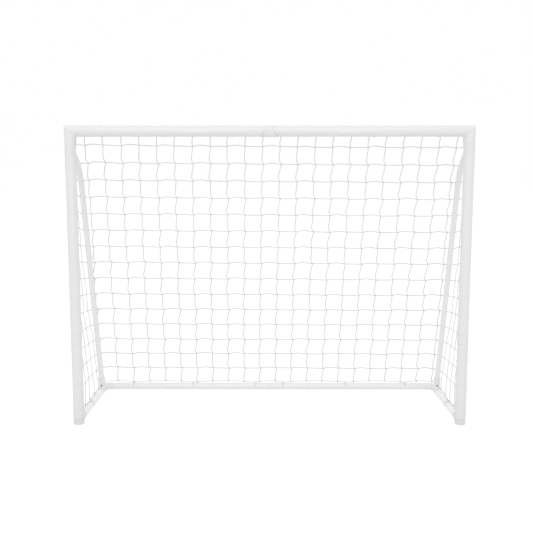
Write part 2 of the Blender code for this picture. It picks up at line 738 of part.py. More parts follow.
UPVC = material("white_upvc", (0.83, 0.83, 0.82), 0.30)
FITTING = material("white_fitting", (0.80, 0.80, 0.79), 0.38)
RUBBER = material("foot_plastic", (0.72, 0.72, 0.71), 0.55)
CLIP = material("clip_plastic", (0.78, 0.78, 0.77), 0.45)
NET = material("net_twine", (0.80, 0.80, 0.78), 0.80)
STEEL = material("button_steel", (0.25, 0.25, 0.26), 0.35, 1.0)

crossbar_coupler()
rear_bar_coupler()
net_back()
net_clips()
for side_label, side_sign in SIDES:
    crossbar_tubes(side_label, side_sign)
    top_corner(side_label, side_sign)
    stay_tee(side_label, side_sign)
    post_tubes(side_label, side_sign)
    post_coupler(side_label, side_sign)
    foot_cap(side_label, side_sign)
    foot_corner(side_label, side_sign)
    stay_tube(side_label, side_sign)
    stay_foot_tube(side_label, side_sign)
    rear_corner(side_label, side_sign)
    base_rails(side_label, side_sign)
    rear_bar_tube(side_label, side_sign)
    lock_button(side_label, side_sign)
    lock_spring(side_label, side_sign)
    net_side(side_label, side_sign)
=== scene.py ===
"""The looks of the soccer goal: smooth tubes and fittings, the knotted net, and the studio.

Everything is in metres in the frame of the CAD: +Z up, the mouth faces -Y, origin on the ground.
"""

import math

import bmesh
import bpy
import numpy as np
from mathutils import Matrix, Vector


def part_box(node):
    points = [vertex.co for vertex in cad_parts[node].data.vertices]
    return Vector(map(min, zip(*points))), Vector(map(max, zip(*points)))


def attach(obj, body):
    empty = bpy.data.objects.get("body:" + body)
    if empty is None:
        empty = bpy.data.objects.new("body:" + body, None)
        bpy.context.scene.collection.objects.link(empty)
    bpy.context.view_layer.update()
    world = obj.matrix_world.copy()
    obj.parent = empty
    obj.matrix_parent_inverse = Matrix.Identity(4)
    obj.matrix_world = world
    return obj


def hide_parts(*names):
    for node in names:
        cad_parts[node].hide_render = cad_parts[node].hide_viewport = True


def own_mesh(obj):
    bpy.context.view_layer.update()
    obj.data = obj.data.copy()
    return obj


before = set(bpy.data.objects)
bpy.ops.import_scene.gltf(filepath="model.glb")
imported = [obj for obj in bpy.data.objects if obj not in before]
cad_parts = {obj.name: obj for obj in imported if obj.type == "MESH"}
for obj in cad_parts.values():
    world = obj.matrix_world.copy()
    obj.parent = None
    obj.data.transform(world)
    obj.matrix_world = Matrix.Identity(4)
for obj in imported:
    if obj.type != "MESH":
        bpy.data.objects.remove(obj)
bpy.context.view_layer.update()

# ---- places read from the CAD
GOAL = "goal"
SIDES = (("left", -1), ("right", 1))
LOW, HIGH = 0, 1


def facts(node, axis):
    """Centre, radius, start and end of a straight round piece that lies along the axis."""
    low, high = (np.array(corner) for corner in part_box(node))
    across = (axis + 1) % 3
    return (low + high) / 2, (high[across] - low[across]) / 2, low[axis], high[axis]


BAR_CENTRE, FRONT_R, BAR_START, BAR_END = facts("crossbar_tube_right", 0)
POST_CENTRE, _, POST_LOW, POST_LOW_TOP = facts("post_lower_right", 2)
_, _, UPPER_LOW, UPPER_TOP = facts("post_upper_right", 2)
RAIL_CENTRE, REAR_R, RAIL_START, RAIL_JOINT = facts("base_rail_front_right", 1)
_, _, _, RAIL_END = facts("base_rail_rear_right", 1)
REAR_CENTRE, _, REAR_START, REAR_END = facts("rear_bar_right", 0)
POST_X = POST_CENTRE[0]
POST_Y = POST_CENTRE[1]
BAR_Z = BAR_CENTRE[2]
BASE_Z = RAIL_CENTRE[2]
BACK_Y = REAR_CENTRE[1]
MOUTH_Y = POST_Y - FRONT_R
TEE_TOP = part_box("stay_tee_left")[HIGH].z
TEE_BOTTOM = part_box("stay_tee_left")[LOW].z
CORNER_ARM = POST_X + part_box("top_corner_left")[HIGH].x

# ---- sizes shared with the CAD source
PROUD = 0.0006
GAP = 0.0003
SPARE = 0.004
CAP_HEIGHT = 0.037
FRONT_WALL = 0.003
REAR_WALL = 0.0025
STAY_R = 0.018
STAY_LEAN = math.radians(16.0)
STAY_KNEE = (0.240, 1.596)
STAY_BEND_R = 0.30
TEE_ARM_DROP = math.radians(26.0)
TEE_ARM_Z = 1.697
TEE_ARM_R = 0.0215
TEE_ARM_END = 0.062
TEE_ARM_SEAT = 0.034
STAY_JOINT_Z = 0.285
SOCKET_TOP = 0.095
SOCKET_SEAT = 0.030
REAR_FITTING_R = 0.0235
FOOT_BEND_R = 0.07
FOOT_BEND_Y = 0.042
FOOT_ARM_END = 0.13
REAR_ARM_Y = 0.62
REAR_BEND_R = 0.05
REAR_ARM_LIP = 0.004
COLLAR_HALF = 0.020
TONGUE = 0.030
TONGUE_LIP = 0.002
SHELL = 0.0018
RIM_BAND = 0.007
REAR_COLLAR_HALF = 0.016
BUTTON_S = 0.043
BUTTON_R = 0.005
BUTTON_PROUD = 0.0025
CLIP_THICK = 0.002
CLIP_WIDE = 0.012
CLIP_HOOK = 0.007
CLIP_HALF_ANGLE = math.radians(100.0)

# ---- sizes of the meshes
FRONT_SIDES = 64
REAR_SIDES = 56
FRONT_STEP = 0.0020
REAR_STEP = 0.0018
HOLE_STEP = 0.0010
HOLED_TOP = 0.065
COLLAR_EASE = 0.0005
ARM_EASE = 0.0014
CRISP = 30
MOULD_CRISP = 55

X = np.array((1.0, 0.0, 0.0))
Y = np.array((0.0, 1.0, 0.0))
Z = np.array((0.0, 0.0, 1.0))
STAY_UP = np.array((0.0, -math.sin(STAY_LEAN), math.cos(STAY_LEAN)))
STAY_FRONT = np.array((0.0, -math.cos(STAY_LEAN), -math.sin(STAY_LEAN)))
TEE_ALONG = np.array((0.0, math.cos(TEE_ARM_DROP), -math.sin(TEE_ARM_DROP)))
RANDOM = np.random.default_rng(11)


def depth(distance):
    """The Y of a place this far behind the mouth's front plane."""
    return MOUTH_Y + distance


def on_post(z, side=-1):
    return np.array((side * POST_X, POST_Y, z))


def place(side, distance, z):
    return np.array((side * POST_X, depth(distance), z))


def stay_foot(side):
    knee = place(side, *STAY_KNEE)
    return knee - STAY_UP * ((STAY_KNEE[1] - BASE_Z) / STAY_UP[2])


def stay_at_height(side, z):
    foot = stay_foot(side)
    return foot + STAY_UP * ((z - foot[2]) / STAY_UP[2])


# ---- materials
class Shader:
    """A Principled material that is built up node by node."""

    def __init__(self, name, roughness, metallic=0.0, coat=0.0, sheen=0.0):
        self.material = bpy.data.materials.new(name)
        self.material.use_nodes = True
        self.tree = self.material.node_tree
        self.surface = self.tree.nodes["Principled BSDF"]
        self.set("Roughness", roughness)
        self.set("Metallic", metallic)
        self.set("Coat Weight", coat)
        self.set("Coat Roughness", 0.12)
        self.set("Sheen Weight", sheen)
        self.set("Sheen Roughness", 0.5)

    def set(self, key, value):
        self.surface.inputs[key].default_value = value

    def node(self, kind, **settings):
        made = self.tree.nodes.new(kind)
        for key, value in settings.items():
            setattr(made, key, value)
        return made

    def join(self, source, target):
        self.tree.links.new(source, target)

    def coordinates(self, scale=(1, 1, 1), output="Object"):
        source = self.node("ShaderNodeTexCoord")
        mapping = self.node("ShaderNodeMapping")
        mapping.inputs["Scale"].default_value = scale
        self.join(source.outputs[output], mapping.inputs["Vector"])
        return mapping.outputs["Vector"]

    def noise(self, vector, scale, detail, roughness=0.55):
        made = self.node("ShaderNodeTexNoise")
        made.inputs["Scale"].default_value = scale
        made.inputs["Detail"].default_value = detail
        made.inputs["Roughness"].default_value = roughness
        self.join(vector, made.inputs["Vector"])
        return made.outputs["Fac"]

    def ramp(self, value, stops):
        made = self.node("ShaderNodeValToRGB")
        ramp = made.color_ramp
        while len(ramp.elements) < len(stops):
            ramp.elements.new(0.5)
        for element, (position, colour) in zip(ramp.elements, stops):
            element.position = position
            element.color = (*colour, 1.0) if len(colour) == 3 else colour
        self.join(value, made.inputs["Fac"])
        return made.outputs["Color"]

    def fit(self, value, low, high, to_low, to_high):
        made = self.node("ShaderNodeMapRange")
        for key, number in zip(("From Min", "From Max", "To Min", "To Max"), (low, high, to_low, to_high)):
            made.inputs[key].default_value = number
        self.join(value, made.inputs["Value"])
        return made.outputs["Result"]

    def math(self, operation, first, second):
        made = self.node("ShaderNodeMath", operation=operation)
        for socket, value in zip(made.inputs, (first, second)):
            if isinstance(value, (int, float)):
                socket.default_value = value
            else:
                self.join(value, socket)
        return made.outputs["Value"]

    def mix(self, share, first, second):
        made = self.node("ShaderNodeMix", data_type="RGBA")
        self.join(share, made.inputs["Factor"])
        for socket, value in zip((made.inputs["A"], made.inputs["B"]), (first, second)):
            if isinstance(value, tuple):
                socket.default_value = (*value, 1.0)
            else:
                self.join(value, socket)
        return made.outputs["Result"]

    def bump(self, height, strength, distance, under=None):
        made = self.node("ShaderNodeBump")
        made.inputs["Strength"].default_value = strength
        made.inputs["Distance"].default_value = distance
        self.join(height, made.inputs["Height"])
        if under is not None:
            self.join(under, made.inputs["Normal"])
        return made.outputs["Normal"]

    def colour(self, value):
        self.join(value, self.surface.inputs["Base Color"])

    def roughness(self, value):
        self.join(value, self.surface.inputs["Roughness"])

    def normal(self, value):
        self.join(value, self.surface.inputs["Normal"])


def grey(level, warm=0.0):
    return (level, level * (1 - warm / 2), level * (1 - warm))


def plastic(name, level, along, roughness=(0.24, 0.40), pebble=0.0, coat=0.0):
    """White plastic: faint mottling, drawn lines along a tube, small scuffs, and dust with painted shade near
    the ground.
    """
    shader = Shader(name, roughness[0], coat=coat)
    plain = shader.coordinates()
    tone = shader.ramp(
        shader.noise(plain, 7.0, 4.0),
        [(0.3, grey(level * 0.992)), (0.7, grey(level * 1.006))],
    )
    scuffs = shader.noise(plain, 55.0, 8.0, 0.7)
    scuffed = shader.fit(scuffs, 0.60, 0.74, 0.0, 1.0)
    worn = shader.mix(shader.math("MULTIPLY", scuffed, 0.30), tone, grey(level * 0.95, 0.02))
    split = shader.node("ShaderNodeSeparateXYZ")
    shader.join(plain, split.inputs["Vector"])
    # Darker towards the ground: dust, and painted shade where the floor hems in the light.
    low = shader.fit(split.outputs["Z"], 0.0, 0.22, 1.0, 0.0)
    dust_and_shade_patches = shader.fit(shader.noise(plain, 24.0, 6.0, 0.65), 0.30, 0.75, 0.12, 0.40)
    shader.colour(shader.mix(shader.math("MULTIPLY", low, dust_and_shade_patches), worn, grey(level * 0.86, 0.05)))
    shader.roughness(shader.fit(scuffs, 0.35, 0.75, *roughness))
    if along is not None:
        scale = [260.0, 260.0, 260.0]
        scale[along] = 2.0
        lines = shader.noise(shader.coordinates(tuple(scale)), 1.0, 2.0)
        first = shader.bump(lines, 0.06, 0.0003)
    else:
        first = shader.bump(shader.noise(plain, 420.0, 2.0), pebble, 0.0006)
    shader.normal(shader.bump(scuffs, 0.03, 0.0006, first))
    return shader.material


def twine_material(name, level, turns=170.0, worn=0.88):
    """Twisted white cord, with painted shade in the grooves of the twist. U runs along the cord in metres and V
    goes once round it.
    """
    shader = Shader(name, 0.72, sheen=0.35)
    split = shader.node("ShaderNodeSeparateXYZ")
    shader.join(shader.coordinates(output="UV"), split.inputs["Vector"])
    along = shader.math("MULTIPLY", split.outputs["X"], turns)
    around = shader.math("MULTIPLY", split.outputs["Y"], 3.0)
    turned = shader.math("FRACT", shader.math("ADD", along, around), 0.0)
    lobe = shader.math("SINE", shader.math("MULTIPLY", turned, math.pi), 0.0)
    fibres = shader.noise(shader.coordinates((900.0, 40.0, 1.0), "UV"), 1.0, 3.0)
    plain = shader.coordinates()
    hairy = shader.noise(plain, 2600.0, 2.0)
    patch = shader.ramp(
        shader.noise(plain, 16.0, 3.0),
        [(0.3, grey(level * 0.93)), (0.7, grey(level * 1.03))],
    )
    # Painted shade: the grooves between the twisted strands are darkened.
    groove_shade = shader.fit(lobe, 0.0, 0.55, 0.35, 0.0)
    height_split = shader.node("ShaderNodeSeparateXYZ")
    shader.join(plain, height_split.inputs["Vector"])
    low_down = shader.fit(height_split.outputs["Z"], 0.1, 1.5, 1.0, 0.0)
    aged = shader.mix(low_down, patch, grey(level * worn))
    shader.colour(shader.mix(groove_shade, aged, grey(level * 0.70)))
    shader.roughness(shader.fit(fibres, 0.2, 0.8, 0.62, 0.86))
    height = shader.math("ADD", lobe, shader.math("MULTIPLY", fibres, 0.25))
    first = shader.bump(height, 0.9, 0.0012)
    shader.normal(shader.bump(hairy, 0.35, 0.0004, first))
    return shader.material


def steel_material():
    """Zinc-plated spring steel, brushed and a little stained."""
    shader = Shader("zinc_steel", 0.35, metallic=1.0)
    plain = shader.coordinates()
    stain = shader.noise(plain, 380.0, 5.0, 0.6)
    shader.colour(shader.ramp(stain, [(0.35, (0.16, 0.16, 0.165)), (0.70, (0.34, 0.34, 0.345))]))
    shader.roughness(shader.fit(stain, 0.3, 0.7, 0.28, 0.5))
    brushed = shader.noise(shader.coordinates((90.0, 2400.0, 2400.0)), 1.0, 2.0)
    shader.normal(shader.bump(brushed, 0.25, 0.0002))
    return shader.material


FRONT_TUBE = [plastic(f"front_upvc_{name}", 0.785, axis, coat=0.6) for axis, name in ((0, "x"), (2, "z"))]
# Painted light: the rear tubes are the front's white uPVC in lighter copies for the bright light near the
# floor, and the rails along Y, lit from above, are lightest.
REAR_TUBE = [
    plastic(f"rear_upvc_painted_lighter_{name}", tone, axis, coat=0.5)
    for axis, (name, tone) in enumerate((("x", 0.865), ("y", 0.95), ("z", 0.865)))
]
# Painted light: a lighter copy of the fitting plastic for the bright light near the floor.
REAR_FITTING = plastic("rear_moulding_painted_lighter", 0.855, None, (0.30, 0.46), pebble=0.10, coat=0.15)
FITTING = plastic("moulded_fitting", 0.785, None, (0.30, 0.46), pebble=0.10, coat=0.15)
COLLAR = plastic("collar_moulding", 0.785, None, (0.34, 0.50), pebble=0.10, coat=0.1)
# Painted shade: a darker copy of the collar plastic for the band along the shell's edge, where a groove lies in
# shade.
COLLAR_RIM_SHADE = plastic("collar_rim_painted_shade", 0.66, None, (0.34, 0.50), pebble=0.10, coat=0.1)
CAP = plastic("foot_plastic", 0.75, None, (0.45, 0.62), pebble=0.22)
CLIP = plastic("clip_plastic", 0.76, None, (0.36, 0.52), pebble=0.12, coat=0.05)
TWINE = twine_material("net_twine", 0.82, worn=0.86)
# Painted light: a lighter copy of the same twine for the side nets, which face the light more.
SIDE_TWINE = twine_material("side_twine_painted_lighter", 0.92, worn=0.97)
ROPE = twine_material("border_rope", 0.88, turns=130.0)
STEEL = steel_material()


# ---- mesh helpers
def piece(name, points, faces, finish, slot, nodes=(), body=GOAL, uv=None, flat_above=None):
    """One smooth shaded mesh that rides on a body and stands for some CAD nodes."""
    mesh = bpy.data.meshes.new(name)
    mesh.from_pydata([tuple(point) for point in points], [], faces)
    if uv is not None:
        layer = mesh.uv_layers.new(name="along")
        layer.data.foreach_set("uv", np.asarray(uv, np.float32).ravel())
    shape = bmesh.new()
    shape.from_mesh(mesh)
    if shape.calc_volume(signed=True) < 0:
        mesh.flip_normals()
    shape.free()
    mesh.materials.append(finish)
    mesh.shade_smooth()
    if flat_above is not None:
        mesh.set_sharp_from_angle(angle=math.radians(flat_above))
    obj = bpy.data.objects.new(name, mesh)
    bpy.context.scene.collection.objects.link(obj)
    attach(obj, body)
    if nodes:
        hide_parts(*nodes)
    return obj


def unit(vector):
    vector = np.asarray(vector, float)
    return vector / np.linalg.norm(vector)


def two_across(axis):
    """Two unit vectors that make a right-handed set with the axis."""
    helper = X if abs(axis[0]) < 0.6 else Z
    first = unit(np.cross(helper, axis))
    return first, np.cross(axis, first)


def steps_along(path):
    """The unit direction of a path at each of its points."""
    run = np.gradient(path, axis=0)
    return run / np.maximum(np.linalg.norm(run, axis=1)[:, None], 1e-9)


def ring_faces(count, sides, closed=False, base=0):
    """Quads between rings of points. The ends are capped, unless the last ring meets the first."""
    faces = []
    for index in range(count if closed else count - 1):
        a, b = base + index * sides, base + (index + 1) % count * sides
        for turn in range(sides):
            after = (turn + 1) % sides
            faces.append((a + turn, a + after, b + after, b + turn))
    if not closed:
        last = base + (count - 1) * sides
        faces += [tuple(base + turn for turn in reversed(range(sides))), tuple(range(last, last + sides))]
    return faces


def lathe(start, axis, profile, sides, closed):
    """Turns a profile of (distance along, radius) round an axis. closed makes a ring-like body."""
    axis = unit(axis)
    first, second = two_across(axis)
    turns = 2 * np.pi * np.arange(sides) / sides
    round_ = np.outer(np.cos(turns), first) + np.outer(np.sin(turns), second)
    points = np.concatenate([np.asarray(start) + axis * s + round_ * r for s, r in profile])
    return points, ring_faces(len(profile), sides, closed)


def eased(profile, edge):
    """Cuts a small chamfer at every corner of a profile."""
    made = []
    count = len(profile)
    for index, corner in enumerate(profile):
        corner = np.array(corner, float)
        for other in (profile[index - 1], profile[(index + 1) % count]):
            step = np.array(other, float) - corner
            length = np.linalg.norm(step)
            made.append(tuple(corner + step / length * min(edge, length * 0.4)))
    return made


def tube_profile(length, outer, inner, edge=0.0003):
    return eased([(0, inner), (0, outer), (length, outer), (length, inner)], edge)


def straight_tube(name, start, end, radius, wall, finish, node, sides):
    length = np.linalg.norm(end - start)
    profile = tube_profile(length, radius, radius - wall)
    points, faces = lathe(start, end - start, profile, sides, True)
    piece(name, points, faces, finish, "white_upvc", [node], flat_above=CRISP)


def sweep(path, radius, sides, normal):
    """A round bar along a path that lies in the plane with this normal."""
    across = np.cross(normal, steps_along(path))
    turns = 2 * np.pi * np.arange(sides) / sides
    rings = path[:, None] + radius * (
        np.cos(turns)[None, :, None] * across[:, None] + np.sin(turns)[None, :, None] * normal
    )
    return rings.reshape(-1, 3), ring_faces(len(path), sides)


# ---- moulded shapes from distances
def capped(points, start, end, radius, edge=0.001):
    """Distance to a round bar with flat ends and eased edges."""
    start = np.asarray(start, float)
    axis = np.asarray(end, float) - start
    length = np.linalg.norm(axis)
    axis = axis / length
    offset = points - start
    along = offset @ axis
    away = np.linalg.norm(offset - np.outer(along, axis), axis=1) - radius
    return eased_meet(away, np.abs(along - length / 2) - length / 2, edge)


def eased_meet(first, second, edge):
    """What lies in both shapes, with the edge between them rounded."""
    both = np.stack([first, second], 1) + edge
    return np.linalg.norm(np.maximum(both, 0), axis=1) + np.minimum(both.max(1), 0) - edge


def eased_join(first, second, reach):
    """What lies in either shape, with a fillet between them."""
    reach = np.maximum(reach, 1e-9)
    near = np.maximum(reach - np.abs(first - second), 0) / reach
    return np.minimum(first, second) - near * near * reach / 4


def cut(shape, hole, edge=0.001):
    return eased_meet(shape, -hole, edge)


def path_distance(points, path):
    nearest = np.full(len(points), 1e9)
    for start, end in zip(path, path[1:]):
        run = end - start
        share = np.clip((points - start) @ run / (run @ run), 0, 1)
        nearest = np.minimum(nearest, np.linalg.norm(points - start - share[:, None] * run, axis=1))
    return nearest


def on_surface(points, shape, reach):
    """Moves points onto the zero of a distance."""
    for _ in range(3):
        value = shape(points)
        steps = [reach * axis for axis in (X, Y, Z)]
        slope = np.stack([(shape(points + step) - shape(points - step)) / (2 * reach) for step in steps], 1)
        size = np.maximum((slope**2).sum(1), 0.05)
        points = points - slope * (value / size)[:, None]
    return points


def moulded(shape, low, high, step):
    """A closed, even mesh of the place where the distance is zero, and its faces."""
    axes = [np.arange(a - 2 * step, b + 2.5 * step, step) for a, b in zip(low, high)]
    grid = np.stack(np.meshgrid(*axes, indexing="ij"), axis=-1)
    inside = (shape(grid.reshape(-1, 3)).reshape(grid.shape[:3]) < 0).astype(int)
    ends = (slice(None, -1), slice(1, None))
    total = sum(inside[a, b, c] for a in ends for b in ends for c in ends)
    mixed = (total > 0) & (total < 8)
    ids = np.full(mixed.shape, -1)
    ids[mixed] = np.arange(mixed.sum())
    points = grid[:-1, :-1, :-1][mixed] + step / 2
    quads = []
    for axis in range(3):
        change = np.diff(inside, axis=axis)
        for sign in (-1, 1):
            found = np.argwhere(change == sign)
            corners = []
            for back_b, back_c in ((1, 1), (0, 1), (0, 0), (1, 0)):
                cell = found.copy()
                cell[:, (axis + 1) % 3] -= back_b
                cell[:, (axis + 2) % 3] -= back_c
                corners.append(ids[cell[:, 0], cell[:, 1], cell[:, 2]])
            quads.append(np.stack(corners if sign < 0 else corners[::-1], 1))
    quads = np.concatenate(quads)
    pairs = np.concatenate([quads[:, [a, (a + 1) % 4]] for a in range(4)])
    count = np.bincount(pairs[:, 0], minlength=len(points))[:, None]
    for _ in range(5):
        total = np.stack(
            [np.bincount(pairs[:, 0], points[pairs[:, 1], k], len(points)) for k in range(3)], 1
        )
        points = on_surface(points * 0.4 + total / count * 0.6, shape, step * 0.2)
    return points, quads


def trimmed(points, quads, ends):
    """Cuts a closed mesh off flat at each (place, direction) end and closes it again."""
    work = bmesh.new()
    corners = [work.verts.new(point) for point in points]
    for quad in quads:
        work.faces.new([corners[index] for index in quad])
    for place_, direction in ends:
        everything = [*work.verts, *work.edges, *work.faces]
        bmesh.ops.bisect_plane(
            work, geom=everything, plane_co=place_, plane_no=direction, clear_outer=True
        )
        rim = [edge for edge in work.edges if edge.is_boundary]
        bmesh.ops.holes_fill(work, edges=rim, sides=0)
    bmesh.ops.recalc_face_normals(work, faces=work.faces)
    work.verts.index_update()
    points = np.array([vert.co[:] for vert in work.verts])
    faces = [tuple(vert.index for vert in face.verts) for face in work.faces]
    work.free()
    return points, faces


def both_sides(name, shape, low, high, step, node, ends, finish=FITTING):
    """The left piece from a distance, and the right one as its mirror image."""
    points, faces = trimmed(*moulded(shape, low, high, step), ends)
    mirrored = points * np.array((-1.0, 1.0, 1.0)), [face[::-1] for face in faces]
    for side_name, half in (("left", (points, faces)), ("right", mirrored)):
        node_name = f"{node}_{side_name}"
        piece(f"{name}_{side_name}", *half, finish, "white_fitting", [node_name], flat_above=MOULD_CRISP)


# ---- front frame
def front_tubes():
    for side_name, side in SIDES:
        ends = [np.array((side * x, POST_Y, BAR_Z)) for x in (BAR_START, BAR_END)]
        node = f"crossbar_tube_{side_name}"
        straight_tube(
            f"crossbar_{side_name}", *ends, FRONT_R, FRONT_WALL, FRONT_TUBE[0], node, FRONT_SIDES
        )
        for part, low, high in (("upper", UPPER_LOW, UPPER_TOP), ("lower", POST_LOW, POST_LOW_TOP)):
            ends = [on_post(z, side) for z in (low, high)]
            name, node = f"{part}_post_{side_name}", f"post_{part}_{side_name}"
            straight_tube(name, *ends, FRONT_R, FRONT_WALL, FRONT_TUBE[1], node, FRONT_SIDES)
        low, high = POST_LOW_TOP + GAP, UPPER_LOW - GAP
        profile = tube_profile(high - low, FRONT_R + PROUD, FRONT_R - FRONT_WALL, COLLAR_EASE)
        mesh = lathe(on_post(low, side), Z, profile, FRONT_SIDES, True)
        node = f"post_coupler_{side_name}"
        piece(f"post_collar_{side_name}", *mesh, FITTING, "white_fitting", [node], flat_above=CRISP)


RIM_EASE = 0.0006
RIM_STEP = 0.0004
# The rows of faces that carry the painted shade along the shell's edge.
SHADED_RIM_ROWS = (4, 6)


def crossbar_collar():
    """The collar in the middle of the crossbar, with its thin scalloped shell and a band of painted shade along
    the shell's edge.
    """
    sides = 96
    turns = 2 * np.pi * np.arange(sides) / sides
    reach = TONGUE * np.sqrt(np.maximum(np.cos(turns), 0.0))
    shell = FRONT_R + SHELL

    def around(x, radius):
        x = np.broadcast_to(x, sides)
        return np.stack([x, POST_Y + radius * np.sin(turns), BAR_Z - radius * np.cos(turns)], 1)

    edge = COLLAR_HALF + TONGUE_LIP + reach
    band = np.minimum(edge - COLLAR_HALF, RIM_BAND)
    rings = []
    for side in (1, -1):
        rows = [
            around(side * COLLAR_HALF, FRONT_R - FRONT_WALL),
            around(side * COLLAR_HALF, FRONT_R + GAP),
            around(side * edge, FRONT_R + GAP),
            around(side * (edge + RIM_EASE), shell - RIM_EASE),
            around(side * edge, shell),
            around(side * (edge - band), shell + RIM_STEP),
        ]
        rings += rows if side > 0 else rows[::-1]
    mesh = np.concatenate(rings), ring_faces(len(rings), sides, True)
    nodes = ["crossbar_coupler"]
    collar = piece("crossbar_collar", *mesh, COLLAR, "white_fitting", nodes, flat_above=CRISP)
    collar.data.materials.append(COLLAR_RIM_SHADE)
    # Painted shade: the faces of the band along the shell's edge get the darker material.
    for face in collar.data.polygons:
        face.material_index = int(face.index // sides in SHADED_RIM_ROWS)


CORNER_FILLET = 0.014
TEE_FILLET = 0.016
FOOT_FILLET = 0.022
SOCKET_FILLET = 0.014


def corner_shape(points):
    """The left top corner: a square mitre outside, and a fillet in the inner corner."""
    body = FRONT_R + PROUD
    inward = points[:, 0] + POST_X
    down = BAR_Z - points[:, 2]
    beside = points[:, 1] - POST_Y
    bar = np.hypot(beside, down) - body
    post = np.hypot(beside, inward) - body
    plain = np.where(inward > down, bar, post)
    filled = eased_join(bar, post, CORNER_FILLET * np.clip((inward + down) / (2.4 * body), 0, 1))
    whole = np.where(inward + down > 0, np.minimum(plain, filled), plain)
    return np.maximum(whole, np.maximum(inward, down) - CORNER_ARM - SPARE)


def tee_shape(points):
    low, high = TEE_BOTTOM - SPARE, TEE_TOP + SPARE
    post = capped(points, on_post(low), on_post(high), FRONT_R + PROUD)
    root = on_post(TEE_ARM_Z)
    arm = capped(points, root, root + TEE_ALONG * TEE_ARM_END, TEE_ARM_R, ARM_EASE)
    mouth = root + TEE_ALONG * (TEE_ARM_END + 0.02)
    socket = capped(points, root + TEE_ALONG * TEE_ARM_SEAT, mouth, STAY_R + GAP)
    return cut(eased_join(post, arm, TEE_FILLET), socket)


def arc_points(centre, start, end, steps):
    turns = np.linspace(0, np.pi / 2, steps + 1)[:, None]
    return centre + start * np.cos(turns) + end * np.sin(turns)


def foot_shape(points):
    leg_top = POST_LOW + SPARE
    leg = capped(points, on_post(CAP_HEIGHT), on_post(leg_top), FRONT_R + PROUD)
    centre = place(-1, FOOT_BEND_Y + FOOT_BEND_R, BASE_Z + FOOT_BEND_R)
    bend = arc_points(centre, -Y * FOOT_BEND_R, -Z * FOOT_BEND_R, 14)
    arm_end = place(-1, FOOT_ARM_END, BASE_Z)
    sweep_away = path_distance(points, [*bend, arm_end + Y * 0.05]) - REAR_FITTING_R
    elbow = np.maximum(sweep_away, points[:, 1] - arm_end[1] - SPARE)
    whole = eased_join(leg, elbow, FOOT_FILLET)
    cap_space = capped(points, on_post(-0.05), on_post(CAP_HEIGHT), FRONT_R + PROUD + GAP, 0.0)
    return np.maximum(cut(whole, cap_space, 0.0005), -points[:, 2])


def rear_shape(points):
    """The left rear corner, with the leaning socket that holds the stay."""
    centre = np.array((-POST_X + REAR_BEND_R, BACK_Y - REAR_BEND_R, BASE_Z))
    bend = arc_points(centre, -X * REAR_BEND_R, Y * REAR_BEND_R, 14)
    rail_end = depth(REAR_ARM_Y)
    bar_end = -POST_X + REAR_BEND_R + REAR_ARM_LIP
    path = [place(-1, REAR_ARM_Y - 0.03, BASE_Z), *bend, bend[-1] + X * 0.03]
    away = path_distance(points, path) - REAR_FITTING_R
    ends = np.maximum(rail_end - points[:, 1], points[:, 0] - bar_end)
    body = np.maximum(away, ends - SPARE)
    foot = stay_foot(-1)
    socket = capped(points, foot, foot + STAY_UP * SOCKET_TOP, REAR_R, ARM_EASE)
    bore = capped(points, foot + STAY_UP * SOCKET_SEAT, foot + STAY_UP * 0.2, STAY_R + GAP)
    button = foot + STAY_UP * BUTTON_S
    hole = capped(points, button, button + STAY_FRONT * 0.05, BUTTON_R + 0.0004)
    whole = cut(cut(eased_join(body, socket, SOCKET_FILLET), bore), hole, 0.0006)
    return np.maximum(whole, -points[:, 2])


def fittings():
    reach = FRONT_R + 0.002
    both_sides(
        "top_elbow",
        corner_shape,
        (-POST_X - reach, POST_Y - reach, BAR_Z - CORNER_ARM - SPARE),
        (-POST_X + CORNER_ARM + SPARE, POST_Y + reach, BAR_Z + reach),
        FRONT_STEP,
        "top_corner",
        [((CORNER_ARM - POST_X, 0, 0), X), ((0, 0, BAR_Z - CORNER_ARM), -Z)],
    )
    both_sides(
        "stay_branch",
        tee_shape,
        (-POST_X - reach, POST_Y - reach, TEE_BOTTOM - SPARE),
        (-POST_X + reach, POST_Y + TEE_ARM_END + reach, TEE_TOP + SPARE),
        REAR_STEP,
        "stay_tee",
        [((0, 0, TEE_BOTTOM), -Z), ((0, 0, TEE_TOP), Z)],
    )
    both_sides(
        "foot_elbow",
        foot_shape,
        (-POST_X - reach, POST_Y - reach, 0.0),
        (-POST_X + reach, depth(FOOT_ARM_END) + SPARE, POST_LOW + SPARE),
        FRONT_STEP,
        "foot_corner",
        [((0, 0, POST_LOW - GAP), Z), ((0, depth(FOOT_ARM_END), 0), Y)],
    )
    bar_end = -POST_X + REAR_BEND_R + REAR_ARM_LIP
    both_sides(
        "rear_elbow",
        rear_shape,
        (-POST_X - REAR_FITTING_R, depth(REAR_ARM_Y) - SPARE, 0.0),
        (bar_end + SPARE, BACK_Y + REAR_FITTING_R, 0.12),
        REAR_STEP,
        "rear_corner",
        [((0, depth(REAR_ARM_Y), 0), -Y), ((bar_end, 0, 0), X)],
        REAR_FITTING,
    )


CAP_ROUND = 0.004
CAP_EASE = 0.0008
CAP_MIDDLE_R = 0.006


def foot_caps():
    rim = CAP_HEIGHT - GAP
    inner = FRONT_R - CAP_ROUND
    profile = [(0.0, CAP_MIDDLE_R), (0.0, inner)]
    profile += [
        (CAP_ROUND - CAP_ROUND * math.cos(turn), inner + CAP_ROUND * math.sin(turn))
        for turn in np.linspace(0.2, np.pi / 2, 6)
    ]
    profile += [(rim - CAP_EASE, FRONT_R), (rim, FRONT_R - CAP_EASE), (rim, CAP_MIDDLE_R)]
    for side_name, side in SIDES:
        mesh = lathe(on_post(0.0, side), Z, profile, FRONT_SIDES, False)
        node = f"foot_cap_{side_name}"
        piece(f"foot_plug_{side_name}", *mesh, CAP, "foot_plastic", [node], flat_above=CRISP)


